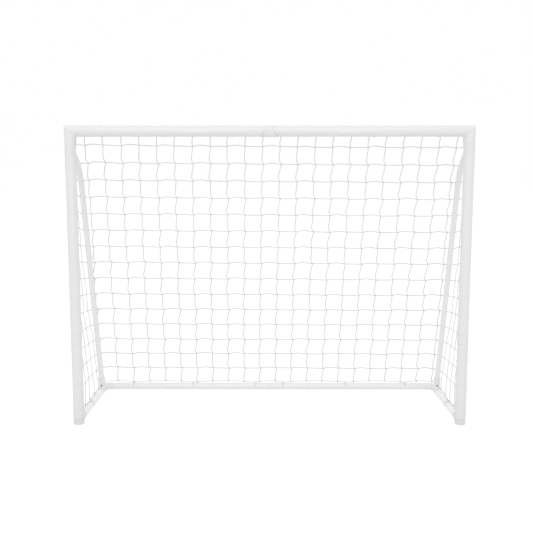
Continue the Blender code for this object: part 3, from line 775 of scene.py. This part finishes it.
# ---- rear frame
def stay_line(side, steps=28):
    """The centre line of the bent stay, from inside the branch to the joint above the foot."""
    root = on_post(TEE_ARM_Z, side)
    knee = place(side, *STAY_KNEE)
    turn = math.acos(float(TEE_ALONG @ -STAY_UP))
    back = STAY_BEND_R * math.tan(turn / 2)
    bend_in = knee - TEE_ALONG * back
    down = np.array((0.0, -math.sin(TEE_ARM_DROP), -math.cos(TEE_ARM_DROP)))
    centre = bend_in + down * STAY_BEND_R
    start, end = bend_in - centre, knee - STAY_UP * back - centre
    shares = np.linspace(0, 1, steps + 1)[:, None]
    bend = centre + (start * np.sin((1 - shares) * turn) + end * np.sin(shares * turn)) / math.sin(turn)
    straight = np.linspace(bend[-1], stay_at_height(side, STAY_JOINT_Z), 12)[1:]
    first = root + TEE_ALONG * (TEE_ARM_SEAT + GAP)
    return np.concatenate([np.linspace(first, bend[0], 4)[:-1], bend, straight])


def lower_stay():
    """The tubes that stand in the rear sockets, with the holes that the lock buttons come through."""
    foot = stay_foot(-1)
    low = foot + STAY_UP * (SOCKET_SEAT + 2 * GAP)
    middle = foot + STAY_UP * HOLED_TOP
    high = stay_at_height(-1, STAY_JOINT_Z) - STAY_UP * GAP
    button = foot + STAY_UP * BUTTON_S
    spare = STAY_UP * SPARE

    def shape(points):
        tube = capped(points, low - spare, middle + spare, STAY_R)
        bore = capped(points, low - 2 * spare, middle + 2 * spare, STAY_R - REAR_WALL)
        hole = capped(points, button, button + STAY_FRONT * REAR_R, BUTTON_R + GAP)
        return cut(cut(tube, bore, 0.0003), hole, 0.0003)

    reach = np.full(3, STAY_R + SPARE)
    box = np.minimum(low, middle) - reach, np.maximum(low, middle) + reach
    points, faces = trimmed(*moulded(shape, *box, HOLE_STEP), [(low, -STAY_UP), (middle, STAY_UP)])
    profile = tube_profile(np.linalg.norm(high - middle), STAY_R, STAY_R - REAR_WALL)
    above, above_faces = lathe(middle, STAY_UP, profile, REAR_SIDES, True)
    faces = faces + [tuple(index + len(points) for index in face) for face in above_faces]
    points = np.concatenate([points, above])
    for side_name, side in SIDES:
        placed = points * np.array((-side, 1.0, 1.0))
        node = f"stay_foot_tube_{side_name}"
        name = f"lower_stay_{side_name}"
        piece(name, placed, faces, REAR_TUBE[2], "white_upvc", [node], flat_above=CRISP)


def rear_tubes():
    lower_stay()
    for side_name, side in SIDES:
        mesh = sweep(stay_line(side), STAY_R, REAR_SIDES, X)
        node = f"stay_tube_{side_name}"
        piece(f"bent_stay_{side_name}", *mesh, REAR_TUBE[2], "white_upvc", [node], flat_above=60)
        for part, low, high in (("front", RAIL_START, RAIL_JOINT), ("rear", RAIL_JOINT + 2 * GAP, RAIL_END)):
            ends = [np.array((side * POST_X, y, BASE_Z)) for y in (low, high)]
            name, node = f"{part}_rail_{side_name}", f"base_rail_{part}_{side_name}"
            straight_tube(name, *ends, REAR_R, REAR_WALL, REAR_TUBE[1], node, REAR_SIDES)
        ends = [np.array((side * bar_x, BACK_Y, BASE_Z)) for bar_x in (REAR_START, REAR_END)]
        name, node = f"back_bar_{side_name}", f"rear_bar_{side_name}"
        straight_tube(name, *ends, REAR_R, REAR_WALL, REAR_TUBE[0], node, REAR_SIDES)
    profile = tube_profile(2 * REAR_COLLAR_HALF, REAR_R + PROUD, REAR_R - REAR_WALL, COLLAR_EASE)
    mesh = lathe((-REAR_COLLAR_HALF, BACK_Y, BASE_Z), X, profile, REAR_SIDES, True)
    nodes = ["rear_bar_coupler"]
    piece("back_bar_collar", *mesh, REAR_FITTING, "white_fitting", nodes, flat_above=CRISP)


FLANGE_BACK, FLANGE_FRONT, FLANGE_R = 0.0122, 0.0137, 0.0062
DOME = 0.0022


def buttons():
    """The domed lock buttons, and the folded springs behind them."""
    face = REAR_R + BUTTON_PROUD
    for side_name, side in SIDES:
        centre = stay_foot(side) + STAY_UP * BUTTON_S
        rim = face - DOME
        profile = [(FLANGE_BACK, FLANGE_R), (FLANGE_FRONT, FLANGE_R), (FLANGE_FRONT, BUTTON_R), (rim, BUTTON_R)]
        for turn in np.linspace(0.15, 1.45, 7):
            profile.append((rim + DOME * math.sin(turn), BUTTON_R * math.cos(turn)))
        mesh = lathe(centre, STAY_FRONT, profile, 40, False)
        body = f"lock_button_{side_name}"
        piece(f"button_pin_{side_name}", *mesh, STEEL, "button_steel", [body], body, flat_above=45)
        spring(side_name, centre)


def spring(side_name, centre):
    thick, half_wide = 0.0008, 0.004
    front, back, low, top = 0.0119, -0.0145, -0.006, 0.055
    fold = back + thick
    line = [(front - thick / 2, low)]
    for turn in np.linspace(0.25, math.pi, 9):
        line.append((fold + 0.0012 + 0.0012 * math.cos(turn), top - 0.003 + 0.0022 * math.sin(turn)))
    line.append((back + thick / 2, low))
    line = np.array(line)
    run = steps_along(line)
    left_of = np.stack([-run[:, 1], run[:, 0]], 1) * thick / 2
    outline = np.concatenate([line + left_of, (line - left_of)[::-1]])
    flat = centre + np.outer(outline[:, 0], STAY_FRONT) + np.outer(outline[:, 1], STAY_UP)
    mesh = slab(flat, X * half_wide)
    nodes = [f"lock_spring_{side_name}"]
    made = piece(f"spring_strip_{side_name}", *mesh, STEEL, "button_steel", nodes, flat_above=40)
    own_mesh(made)


def slab(outline, half):
    """A flat outline thickened to both sides."""
    count = len(outline)
    points = np.concatenate([outline - half, outline + half])
    faces = [(i, (i + 1) % count, count + (i + 1) % count, count + i) for i in range(count)]
    faces.append(tuple(reversed(range(count))))
    faces.append(tuple(range(count, 2 * count)))
    return points, faces


# ---- net clips
CLIP_TAPER = 0.65
TIP_ROUND = 0.0006
HOOK_SEAT = 0.0002
HOOK_EASE = 0.0005


def clip(name, centre, along, facing, tube_radius):
    across = np.cross(along, facing)
    inner = tube_radius + GAP
    angles = np.linspace(-CLIP_HALF_ANGLE, CLIP_HALF_ANGLE, 41)

    def point(radius, angle):
        return centre + facing * (radius * math.cos(angle)) + across * (radius * math.sin(angle))

    def thick(angle):
        """The arms get thinner towards their tips."""
        return CLIP_THICK * (1 - CLIP_TAPER * max(0.0, 2 * abs(angle) / CLIP_HALF_ANGLE - 1))

    tip_radius = inner + thick(CLIP_HALF_ANGLE) / 2
    tip_angle = CLIP_HALF_ANGLE + TIP_ROUND / inner
    outline = [point(inner, angle) for angle in angles]
    outline.append(point(tip_radius, tip_angle))
    top = [point(inner + thick(angle), angle) for angle in reversed(angles)]
    middle = len(top) // 2
    hook = [
        (HOOK_SEAT, CLIP_THICK),
        (CLIP_HOOK - HOOK_EASE, CLIP_THICK),
        (CLIP_HOOK, CLIP_THICK - HOOK_EASE),
        (CLIP_HOOK, HOOK_EASE - 2 * CLIP_THICK),
        (CLIP_HOOK - CLIP_THICK / 2, -HOOK_EASE - 2 * CLIP_THICK),
        (CLIP_HOOK - CLIP_THICK, HOOK_EASE - 2 * CLIP_THICK),
        (CLIP_HOOK - CLIP_THICK, -0.8 * CLIP_THICK),
        (CLIP_HOOK - 1.4 * CLIP_THICK, -0.5 * CLIP_THICK),
        (HOOK_SEAT, -0.5 * CLIP_THICK),
    ]
    outline += top[: middle - 1]
    outline += [top[middle] + facing * away + across * aside for away, aside in hook]
    outline += top[middle + 2 :]
    outline.append(point(tip_radius, -tip_angle))
    mesh = slab(np.array(outline), along * (CLIP_WIDE / 2))
    obj = piece(f"{name}_hook", *mesh, CLIP, "clip_plastic", [name], flat_above=CRISP)
    bevel = obj.modifiers.new("eased", "BEVEL")
    bevel.width = 0.0003
    bevel.segments = 2
    bevel.limit_method = "ANGLE"
    bevel.angle_limit = math.radians(60)


def node_centre(node):
    low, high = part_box(node)
    return np.array((low + high) / 2)


def clips():
    up_back = unit(Y + 2 * Z)
    for side_name, side in SIDES:
        for number in (1, 2, 3):
            node = f"crossbar_clip_{side_name}_{number}"
            clip(node, np.array((node_centre(node)[0], POST_Y, BAR_Z)), -X, Y, FRONT_R)
            node = f"post_clip_{side_name}_{number}"
            clip(node, on_post(node_centre(node)[2], side), side * Z, Y, FRONT_R)
            node = f"rear_bar_clip_{side_name}_{number}"
            clip(node, np.array((node_centre(node)[0], BACK_Y, BASE_Z)), X, up_back, REAR_R)
        node = f"rail_clip_{side_name}"
        clip(node, np.array((side * POST_X, node_centre(node)[1], BASE_Z)), -side * Y, Z, REAR_R)


# ---- the net
TWINE_R = 0.0026
ROPE_R = 0.0021
KNOT_R = 0.0020
COLUMNS = 22
FIRST_COLUMN = (-1.112, -0.1014)
LAST_COLUMN = (1.134, 0.052)
UNEVEN = (0.0044, -0.0223, -0.0158, 0.058)
SKEW = 0.0072
ROW_FALL = (-0.0134, 0.0096)
STAGGER = 0.003
STAGGER_TURN = 8
ZIGZAG = 0.0028
ZIGZAG_FADE = 7.0
TOP_JOG, JOG, LOW_JOG = 0.004, 0.0105, 0.006
ARCHES = (0.0068, 0.0004)
SIDE_ARCH, STAY_ARCH = 0.004, 0.0006
SIDE_LEAN = 0.006
CORD_STEPS, SIDE_STEPS = 10, 8
CORD_SIDES, KNOT_SIDES = 8, 6
ROW_Z = (
    (1.7085, 1.6037, 1.4986, 1.3925, 1.2859, 1.1780, 1.0691, 0.9600)
    + (0.8483, 0.7365, 0.6242, 0.5110, 0.3954, 0.2813, 0.1638, 0.0580)
)
TOP_Z, LOW_Z = 1.717, 0.058
NET_TOP = (0.066, 1.780)
NET_SLOPE = 0.4197
CORNER_OUT = 0.0215
POST_BACK = 0.07
NEAREST_UPRIGHT = 0.105
SOFT_CORNER = 0.030
ROPE_OUT = 0.0185
ROPE_Z = 0.0435
SIDE_PITCH = 0.126
SIDE_LIFT = 0.045
FIRST_SIDE = {-1: 0.120, 1: 0.140}


def fallen(z):
    """0 at the top row of knots and 1 at the lowest."""
    return np.clip((TOP_Z - z) / (TOP_Z - LOW_Z), 0, 1)


def line_back(z):
    """How far behind the mouth the net hangs in the middle of the goal."""
    return NET_TOP[0] + (NET_TOP[1] - z) * NET_SLOPE


STAY_PATH = stay_line(1, 40)


def stay_back(z):
    """How far behind the mouth the back of the stay is, with room for the twine."""
    z = np.asarray(z, float)
    order = np.argsort(STAY_PATH[:, 2])
    on_line = np.interp(z, STAY_PATH[order, 2], STAY_PATH[order, 1]) - MOUTH_Y
    low = stay_at_height(1, 0.3)[1] - MOUTH_Y + (0.3 - z) * math.tan(STAY_LEAN)
    centre = np.where(z < 0.3, low, on_line)
    return np.where(z > STAY_PATH[:, 2].max(), 0.0, centre + (STAY_R + TWINE_R) / math.cos(STAY_LEAN))


def corner_back(z):
    return np.maximum(stay_back(z), line_back(z))


def back_point(x, z):
    """A point on the back of the net, which bows out to pass behind the stays."""
    bow = corner_back(z) - line_back(z)
    near = np.exp(-np.maximum(POST_X - np.abs(x), 0) / 0.06)
    return np.stack([x, depth(line_back(z) + bow * near), z], -1)


def side_x(side, distance, z):
    """The side net runs from behind the post to the outside of the stay."""
    share = np.clip((distance - POST_BACK) / np.maximum(corner_back(z) - POST_BACK, 0.02), 0, 1)
    return side * (POST_X + CORNER_OUT * np.minimum(1.0, 1.6 * share))


def side_point(side, distance, z):
    return np.stack([side_x(side, distance, z), depth(distance), z + 0 * distance], -1)


def column_x(column, z):
    """The back net's upright cords spread a little from the crossbar to the ground."""
    share = fallen(z)
    first = FIRST_COLUMN[0] + FIRST_COLUMN[1] * share
    last = LAST_COLUMN[0] + LAST_COLUMN[1] * share
    off_middle = column / (COLUMNS - 1) - 0.5
    uneven = sum(amount * off_middle**power for power, amount in enumerate(UNEVEN))
    return first + (last - first) * column / (COLUMNS - 1) + uneven - SKEW * (share - 0.5) * off_middle


def row_height(column, row):
    """Rows of knots fall a little towards the right, more so at the top."""
    off_middle = column / (COLUMNS - 1) - 0.5
    share = fallen(ROW_Z[row]) - 0.5
    return ROW_Z[row] + off_middle * (ROW_FALL[0] + ROW_FALL[1] * share)


def row_shift(row):
    """Rows sit alternately a little to the left and to the right."""
    return STAGGER if (row + (row > STAGGER_TURN)) % 2 else -STAGGER


def row_lift(distance, z):
    """Rows on the side climb from the back corner towards the post."""
    share = (corner_back(z) - distance) / np.maximum(corner_back(z) - POST_BACK, 0.05)
    return SIDE_LIFT * np.clip(share, 0, 1) * np.clip((1.70 - z) / 0.1, 0, 1)


def smooth_through(knots, bumps, steps):
    """A line through knots that leaves each straight run by the offsets given for it."""
    made = [knots[0]]
    shares = np.linspace(0, 1, steps + 1)[1:]
    for start, end, bump in zip(knots, knots[1:], bumps):
        for share in shares:
            made.append(start + (end - start) * share + bump(share))
    return np.array(made)


def jog(amount):
    """Cords lean to one side between knots and step back just before the next one."""
    lean = amount * (0.8 + 0.4 * RANDOM.random())
    peak = 0.74 + 0.1 * RANDOM.random()
    sway = 0.002 * (RANDOM.random() - 0.5)

    def bump(share):
        falling = share / peak if share < peak else (1 - share) / (1 - peak)
        falling = falling * falling * (3 - 2 * falling) * 0.5 + falling * 0.5
        return np.array((-lean * falling, sway * math.sin(math.pi * share), 0.0))

    return bump


def bow_up(amount):
    """Every other cross cord arches up after its knot."""
    rise = amount * (0.8 + 0.4 * RANDOM.random())
    peak = 0.36 + 0.1 * RANDOM.random()
    sway = 0.003 * (RANDOM.random() - 0.5)

    def bump(share):
        arch = math.sin(math.pi * share ** (math.log(0.5) / math.log(peak)))
        return np.array((0.0, sway * math.sin(math.pi * share), rise * max(arch, 0.0) ** 1.3))

    return bump


class Cords:
    """Collects cords and knots into one mesh, with U along each cord in metres."""

    def __init__(self):
        self.points, self.faces, self.uv, self.count = [], [], [], 0

    def cord(self, path, radius):
        path = np.asarray(path, float)
        run = steps_along(path)
        guide = unit(path[-1] - path[0]) if np.linalg.norm(path[-1] - path[0]) > 0.02 else X
        helper = Y if abs(guide[1]) < 0.75 else X
        first = np.cross(np.broadcast_to(helper, run.shape), run)
        first /= np.maximum(np.linalg.norm(first, axis=1)[:, None], 1e-6)
        second = np.cross(run, first)
        self.tube(path, first, second, radius, CORD_SIDES)

    def tube(self, path, first, second, radius, sides):
        length = np.concatenate([[0], np.cumsum(np.linalg.norm(np.diff(path, axis=0), axis=1))])
        turns = 2 * np.pi * np.arange(sides) / sides
        ring = np.cos(turns)[None, :, None] * first[:, None] + np.sin(turns)[None, :, None] * second[:, None]
        self.points.append((path[:, None] + radius * ring).reshape(-1, 3))
        self.faces += ring_faces(len(path), sides, base=self.count)
        for u0, u1 in zip(length, length[1:]):
            for turn in range(sides):
                v0, v1 = turn / sides, (turn + 1) / sides
                self.uv += [(u0, v0), (u0, v1), (u1, v1), (u1, v0)]
        self.uv += [(0.0, 0.5)] * sides + [(length[-1], 0.5)] * sides
        self.count += len(path) * sides

    def knot(self, centre, size, outward=Y):
        """A tight wrap of the cross cord round the upright one."""
        tilt = RANDOM.uniform(-0.25, 0.25)
        axis = unit(X * (0.75 + tilt) + Z * (0.66 - tilt) + np.asarray(outward) * 0.10)
        first, second = two_across(axis)
        turns = np.linspace(0, 4.3 * np.pi, 26)
        spread = np.linspace(-1, 1, 26)
        swell = KNOT_R * size * (1.45 + 0.25 * np.cos(spread * np.pi / 2))
        path = (
            np.asarray(centre)
            + np.outer(spread * 0.0027 * size, axis)
            + np.outer(np.cos(turns) * swell, first)
            + np.outer(np.sin(turns) * swell, second)
        )
        run = steps_along(path)
        across = np.cross(axis, run)
        across /= np.linalg.norm(across, axis=1)[:, None]
        self.tube(path, across, np.cross(run, across), KNOT_R * size, KNOT_SIDES)

    def finish(self, name, finish, slot, nodes=()):
        return piece(name, np.concatenate(self.points), self.faces, finish, slot, nodes, uv=self.uv)


def between_hooks(x, bar, end):
    """The span between the clips of a bar on either side of x, and a bulge of 0 to 1 along it."""
    hooks = sorted(node_centre(f"{bar}_clip_{s}_{n}")[0] for s, _ in SIDES for n in (1, 2, 3))
    marks = np.array([-end, *hooks, end])
    index = np.clip(np.searchsorted(marks, x) - 1, 0, len(marks) - 2)
    span = marks[index + 1] - marks[index]
    share = (x - marks[index]) / span
    return span, 4 * share * (1 - share)


def rope_top_z(x):
    """The top rope hangs in the crossbar's hooks and dips between them."""
    span, bulge = between_hooks(x, "crossbar", POST_X)
    return BAR_Z - 0.001 - 0.030 * span * bulge


ROPE_BACK = 2 * FRONT_R + GAP + CLIP_THICK + 0.0026


def rope_low(x):
    """The bottom rope sits in the rear bar's hooks and is pulled up by the net between them."""
    lift = 0.011 * between_hooks(x, "rear_bar", POST_X + CORNER_OUT)[1]
    hook = np.array((0.0, BACK_Y, BASE_Z)) + unit(Y + 2 * Z) * (REAR_R + GAP + CLIP_THICK + 0.0030)
    return np.stack([x, hook[1] - 0.2 * lift, hook[2] + lift], -1)


def knot_offset(column):
    """Knots don't sit on a perfect grid: columns alternate a little, most near the left side."""
    zigzag = (1 if column % 2 else -1) * ZIGZAG * math.exp(-column / ZIGZAG_FADE)
    return np.array((RANDOM.normal(0, 0.0016), RANDOM.normal(0, 0.001), zigzag + RANDOM.normal(0, 0.0012)))


def back_net():
    """Upright and cross cords of the back, with a knot at each crossing. Returns the knots."""
    cords = Cords()
    knots = np.zeros((COLUMNS, len(ROW_Z), 3))
    for column in range(COLUMNS):
        for row in range(len(ROW_Z)):
            z = row_height(column, row)
            x = column_x(column, z) + row_shift(row)
            if row == len(ROW_Z) - 1:
                knots[column, row] = rope_low(np.array(x))
                continue
            knots[column, row] = back_point(np.array(x), np.array(z)) + knot_offset(column)
    for column in range(COLUMNS):
        x = column_x(column, NET_TOP[1]) + STAGGER
        top = np.array((x, depth(ROPE_BACK), float(rope_top_z(np.array(x)))))
        line = [top, *knots[column]]
        bumps = [jog(TOP_JOG), *[jog(JOG) for _ in range(len(ROW_Z) - 2)], jog(LOW_JOG)]
        cords.cord(smooth_through(line, bumps, CORD_STEPS), TWINE_R)
        cords.knot(top, 1.25)
        for row in range(len(ROW_Z)):
            cords.knot(knots[column, row], 1.0 if row < len(ROW_Z) - 1 else 1.2)
    for row in range(len(ROW_Z) - 1):
        line = list(knots[:, row])
        bumps = [bow_up(ARCHES[column % 2]) for column in range(COLUMNS - 1)]
        cords.cord(smooth_through(line, bumps, CORD_STEPS), TWINE_R)
    cords.finish("back_netting", TWINE, "net_twine", ["net_back"])
    return knots


def wrap(side, z, start):
    """The run of a row from the outermost back knot, taut round the stay, to its outer side."""
    made = []
    if stay_back(z) > line_back(z):
        reach = STAY_R + TWINE_R
        centre = depth(stay_back(z) - reach / math.cos(STAY_LEAN))
        inward = side * start[0] - POST_X
        behind = (start[1] - centre) * math.cos(STAY_LEAN)
        touch = math.atan2(inward, behind) + math.acos(reach / max(math.hypot(inward, behind), reach))
        for turn in np.linspace(np.clip(touch, 0.0, math.pi / 2), math.pi / 2, 6):
            out = np.array((side * reach * math.sin(turn), reach * math.cos(turn) / math.cos(STAY_LEAN), 0.0))
            made.append(np.array((side * POST_X, centre, z)) + out)
    else:
        out, back = side * (POST_X + CORNER_OUT - SOFT_CORNER), depth(corner_back(z) - SOFT_CORNER)
        for turn in np.linspace(0.0, math.pi / 2, 5):
            turned = np.array((side * math.sin(turn), math.cos(turn), 0.0))
            made.append(np.array((out, back, z)) + SOFT_CORNER * turned)
    return [point for point in made if side * point[0] > side * start[0] + 0.004]


def side_net(side_name, side, knots):
    """One side: rows go on round the stay to the post, and uprights follow the slope of the back."""
    cords = Cords()
    outermost = knots[0 if side < 0 else -1]
    post_rope = np.array((side * POST_X, depth(ROPE_BACK), 0.0))
    lines = []
    for row in range(len(ROW_Z) - 1):
        start = outermost[row]
        z = row_height(0 if side < 0 else COLUMNS - 1, row)
        corner = float(corner_back(z))
        if row == 0:
            line = [start, post_rope + Z * (z + 0.004)]
            cords.cord(smooth_through(line, [bow_up(0.001)], SIDE_STEPS), TWINE_R)
            cords.knot(line[-1], 1.15)
            continue
        round_stay = wrap(side, z, start)
        marks = corner - FIRST_SIDE[side] + 0.012 * math.sin(row * 1.7) - SIDE_PITCH * np.arange(8)
        marks = marks[marks > NEAREST_UPRIGHT]
        side_knots = []
        for distance in marks:
            height = z + float(row_lift(distance, z))
            side_knots.append(side_point(side, distance, height) + RANDOM.normal(0, 0.0015, 3))
        end = post_rope + Z * (z + SIDE_LIFT)
        line = [*round_stay, *side_knots, end]
        path = smooth_through([start, line[0]], [bow_up(0.0005)], 4)
        rises = [STAY_ARCH if i < len(round_stay) else SIDE_ARCH for i in range(len(line) - 1)]
        tail = smooth_through(line, [bow_up(rise) for rise in rises], SIDE_STEPS)
        cords.cord(np.concatenate([path[:-1], tail]), TWINE_R)
        for point in side_knots:
            cords.knot(point, 1.0, X)
        cords.knot(end, 1.15)
        lines.append((row, side_knots))
    side_uprights(cords, side, lines, post_rope)
    cords.finish(f"side_netting_{side_name}", SIDE_TWINE, "net_twine", [f"net_side_{side_name}"])


def side_uprights(cords, side, lines, post_rope):
    """The side's upright cords: each starts at the post and goes down through its own knots."""
    most = max(len(found) for _, found in lines)
    for index in range(most):
        run = [found[index] for _, found in lines if len(found) > index]
        if not run:
            continue
        first = run[0]
        top = post_rope + Z * min(first[2] + 0.10, TEE_BOTTOM - 0.03)
        low_y = run[-1][1] + 0.030
        low = np.array((side * (POST_X + ROPE_OUT), min(low_y, depth(0.70)), ROPE_Z))
        line = [top, *run, low]
        bumps = [side_lean(SIDE_LEAN) for _ in line[1:]]
        cords.cord(smooth_through(line, bumps, SIDE_STEPS), TWINE_R)
        cords.knot(top, 1.1)
        cords.knot(low, 1.1, X)


def side_lean(amount):
    lean = amount * (0.7 + 0.6 * RANDOM.random())
    sway = 0.002 * (RANDOM.random() - 0.5)

    def bump(share):
        return np.array((sway, lean * math.sin(math.pi * share**1.3), 0.0))

    return bump


def round_corner(points, reach):
    """Rounds the inner corners of a coarse line."""
    points = [np.asarray(point, float) for point in points]
    made = [points[0]]
    for before, corner, after in zip(points, points[1:], points[2:]):
        start = corner + unit(before - corner) * min(reach, np.linalg.norm(before - corner) / 2)
        end = corner + unit(after - corner) * min(reach, np.linalg.norm(after - corner) / 2)
        for share in np.linspace(0, 1, 7):
            made.append((1 - share) ** 2 * start + 2 * share * (1 - share) * corner + share**2 * end)
    made.append(points[-1])
    return made


def resample(points, step):
    points = np.asarray(points, float)
    length = np.concatenate([[0], np.cumsum(np.linalg.norm(np.diff(points, axis=0), axis=1))])
    marks = np.linspace(0, length[-1], max(3, int(length[-1] / step)))
    return np.stack([np.interp(marks, length, points[:, k]) for k in range(3)], 1)


def border_ropes():
    """The rope that the net is hung from: along the crossbar, down both posts and round the base."""
    cords = Cords()
    xs = np.linspace(-POST_X + 0.03, POST_X - 0.03, 120)
    top = np.stack([xs, np.full_like(xs, depth(ROPE_BACK)), rope_top_z(xs)], 1)
    cords.cord(top, ROPE_R)
    xs = np.linspace(-POST_X - 0.020, POST_X + 0.020, 140)
    back = rope_low(xs)
    rail_top = BASE_Z + REAR_R + GAP + CLIP_THICK + 0.0026
    outer = POST_X + ROPE_OUT
    for _, side in SIDES:
        line = [
            back[0] if side < 0 else back[-1],
            (side * (POST_X + 0.025), BACK_Y - 0.010, 0.046),
            (side * outer, depth(0.66), ROPE_Z),
            (side * outer, depth(0.45), ROPE_Z),
            (side * POST_X, depth(0.345), rail_top),
            (side * POST_X, depth(0.335), rail_top),
            (side * outer, depth(0.24), 0.0440),
            (side * (POST_X + 0.014), depth(0.14), 0.060),
            (side * POST_X, depth(ROPE_BACK + 0.002), 0.20),
            (side * POST_X, depth(ROPE_BACK), 0.30),
        ]
        curve = resample(round_corner(line, 0.05), 0.012)
        cords.cord(curve, ROPE_R)
        zs = np.arange(0.30, TEE_BOTTOM - 0.02, 0.02)
        post = np.stack([np.full_like(zs, side * POST_X), np.full_like(zs, depth(ROPE_BACK)), zs], 1)
        cords.cord(post, ROPE_R)
        corner_tie = [
            post[-1],
            (side * (POST_X - 0.012), depth(ROPE_BACK + 0.012), TEE_BOTTOM + 0.05),
            top[0] if side < 0 else top[-1],
        ]
        cords.cord(resample(round_corner(corner_tie, 0.04), 0.012), ROPE_R)
    cords.cord(back, ROPE_R)
    cords.finish("border_rope", ROPE, "net_twine")


# ---- studio
FLOOR_REACH = 60.0
FLOOR_GREYS = (0.20, 0.21)
FLOOR_GLOW = (0.66, 0.85)
SKY_LIGHT = 0.93
LAMPS = (
    ("front_above", (-1.0, -7.5, 9.5), (0.0, 0.0, 0.9), (9.0, 9.0), 175.0),
    ("strip_left", (-1.05, -6.2, 1.9), (-1.05, 0.0, 1.6), (0.4, 2.0), 9.0),
    ("strip_right", (1.05, -6.2, 1.9), (1.05, 0.0, 1.6), (0.4, 2.0), 9.0),
)
CAMERA_BACK = 4.3884
CAMERA_X, CAMERA_Z = -0.0049, 1.5469
CAMERA_DOWN, CAMERA_ROLL = 0.1257, 0.003
SENSOR = 36.0
LENS = 734.0 / 533.0 * SENSOR


def studio():
    """A white floor under an even white sky, with one large soft light above the front left."""
    floor_mesh = bpy.data.meshes.new("floor")
    signs = ((-1, -1), (1, -1), (1, 1), (-1, 1))
    corners = [(FLOOR_REACH * a, FLOOR_REACH * b, 0.0) for a, b in signs]
    floor_mesh.from_pydata(corners, [], [(0, 1, 2, 3)])
    floor = bpy.data.objects.new("floor", floor_mesh)
    bpy.context.scene.collection.objects.link(floor)
    paper = Shader("lit_paper", 0.9)
    mottle = paper.noise(paper.coordinates(), 0.6, 2.0)
    paper.colour(paper.ramp(mottle, [(0.3, grey(FLOOR_GREYS[0])), (0.7, grey(FLOOR_GREYS[1]))]))
    paper.set("Specular IOR Level", 0.0)
    paper.set("Emission Color", (1.0, 1.0, 1.0, 1.0))
    seen = paper.node("ShaderNodeLightPath").outputs["Is Camera Ray"]
    paper.join(paper.fit(seen, 0.0, 1.0, *FLOOR_GLOW), paper.surface.inputs["Emission Strength"])
    floor_mesh.materials.append(paper.material)

    world = bpy.data.worlds.new("white_room")
    world.use_nodes = True
    sky = world.node_tree.nodes["Background"]
    seen_sky = world.node_tree.nodes.new("ShaderNodeLightPath")
    strength = world.node_tree.nodes.new("ShaderNodeMapRange")
    strength.inputs["To Min"].default_value = SKY_LIGHT
    world.node_tree.links.new(seen_sky.outputs["Is Camera Ray"], strength.inputs["Value"])
    world.node_tree.links.new(strength.outputs["Result"], sky.inputs["Strength"])
    sky.inputs["Color"].default_value = (1.0, 1.0, 1.0, 1.0)
    bpy.context.scene.world = world

    for name, where, aim, size, power in LAMPS:
        light = bpy.data.lights.new(name, "AREA")
        light.shape = "RECTANGLE"
        light.size, light.size_y = size
        light.energy = power
        lamp = bpy.data.objects.new(name, light)
        lamp.location = where
        lamp.rotation_euler = (Vector(aim) - Vector(where)).to_track_quat("-Z", "Y").to_euler()
        bpy.context.scene.collection.objects.link(lamp)


def camera():
    """In front of the mouth and a little below the crossbar, looking slightly down."""
    data = bpy.data.cameras.new("camera")
    data.sensor_width = SENSOR
    data.lens = LENS
    data.clip_end = 200.0
    obj = bpy.data.objects.new("camera", data)
    obj.location = (CAMERA_X, MOUTH_Y - CAMERA_BACK, CAMERA_Z)
    obj.rotation_euler = (math.pi / 2 - CAMERA_DOWN, 0.0, CAMERA_ROLL)
    bpy.context.scene.collection.objects.link(obj)
    bpy.context.scene.camera = obj


camera()
studio()
bpy.context.scene.view_settings.view_transform = "Standard"
front_tubes()
crossbar_collar()
fittings()
foot_caps()
rear_tubes()
buttons()
clips()
back_knots = back_net()
for net_side_name, net_side in SIDES:
    side_net(net_side_name, net_side, back_knots)
border_ropes()
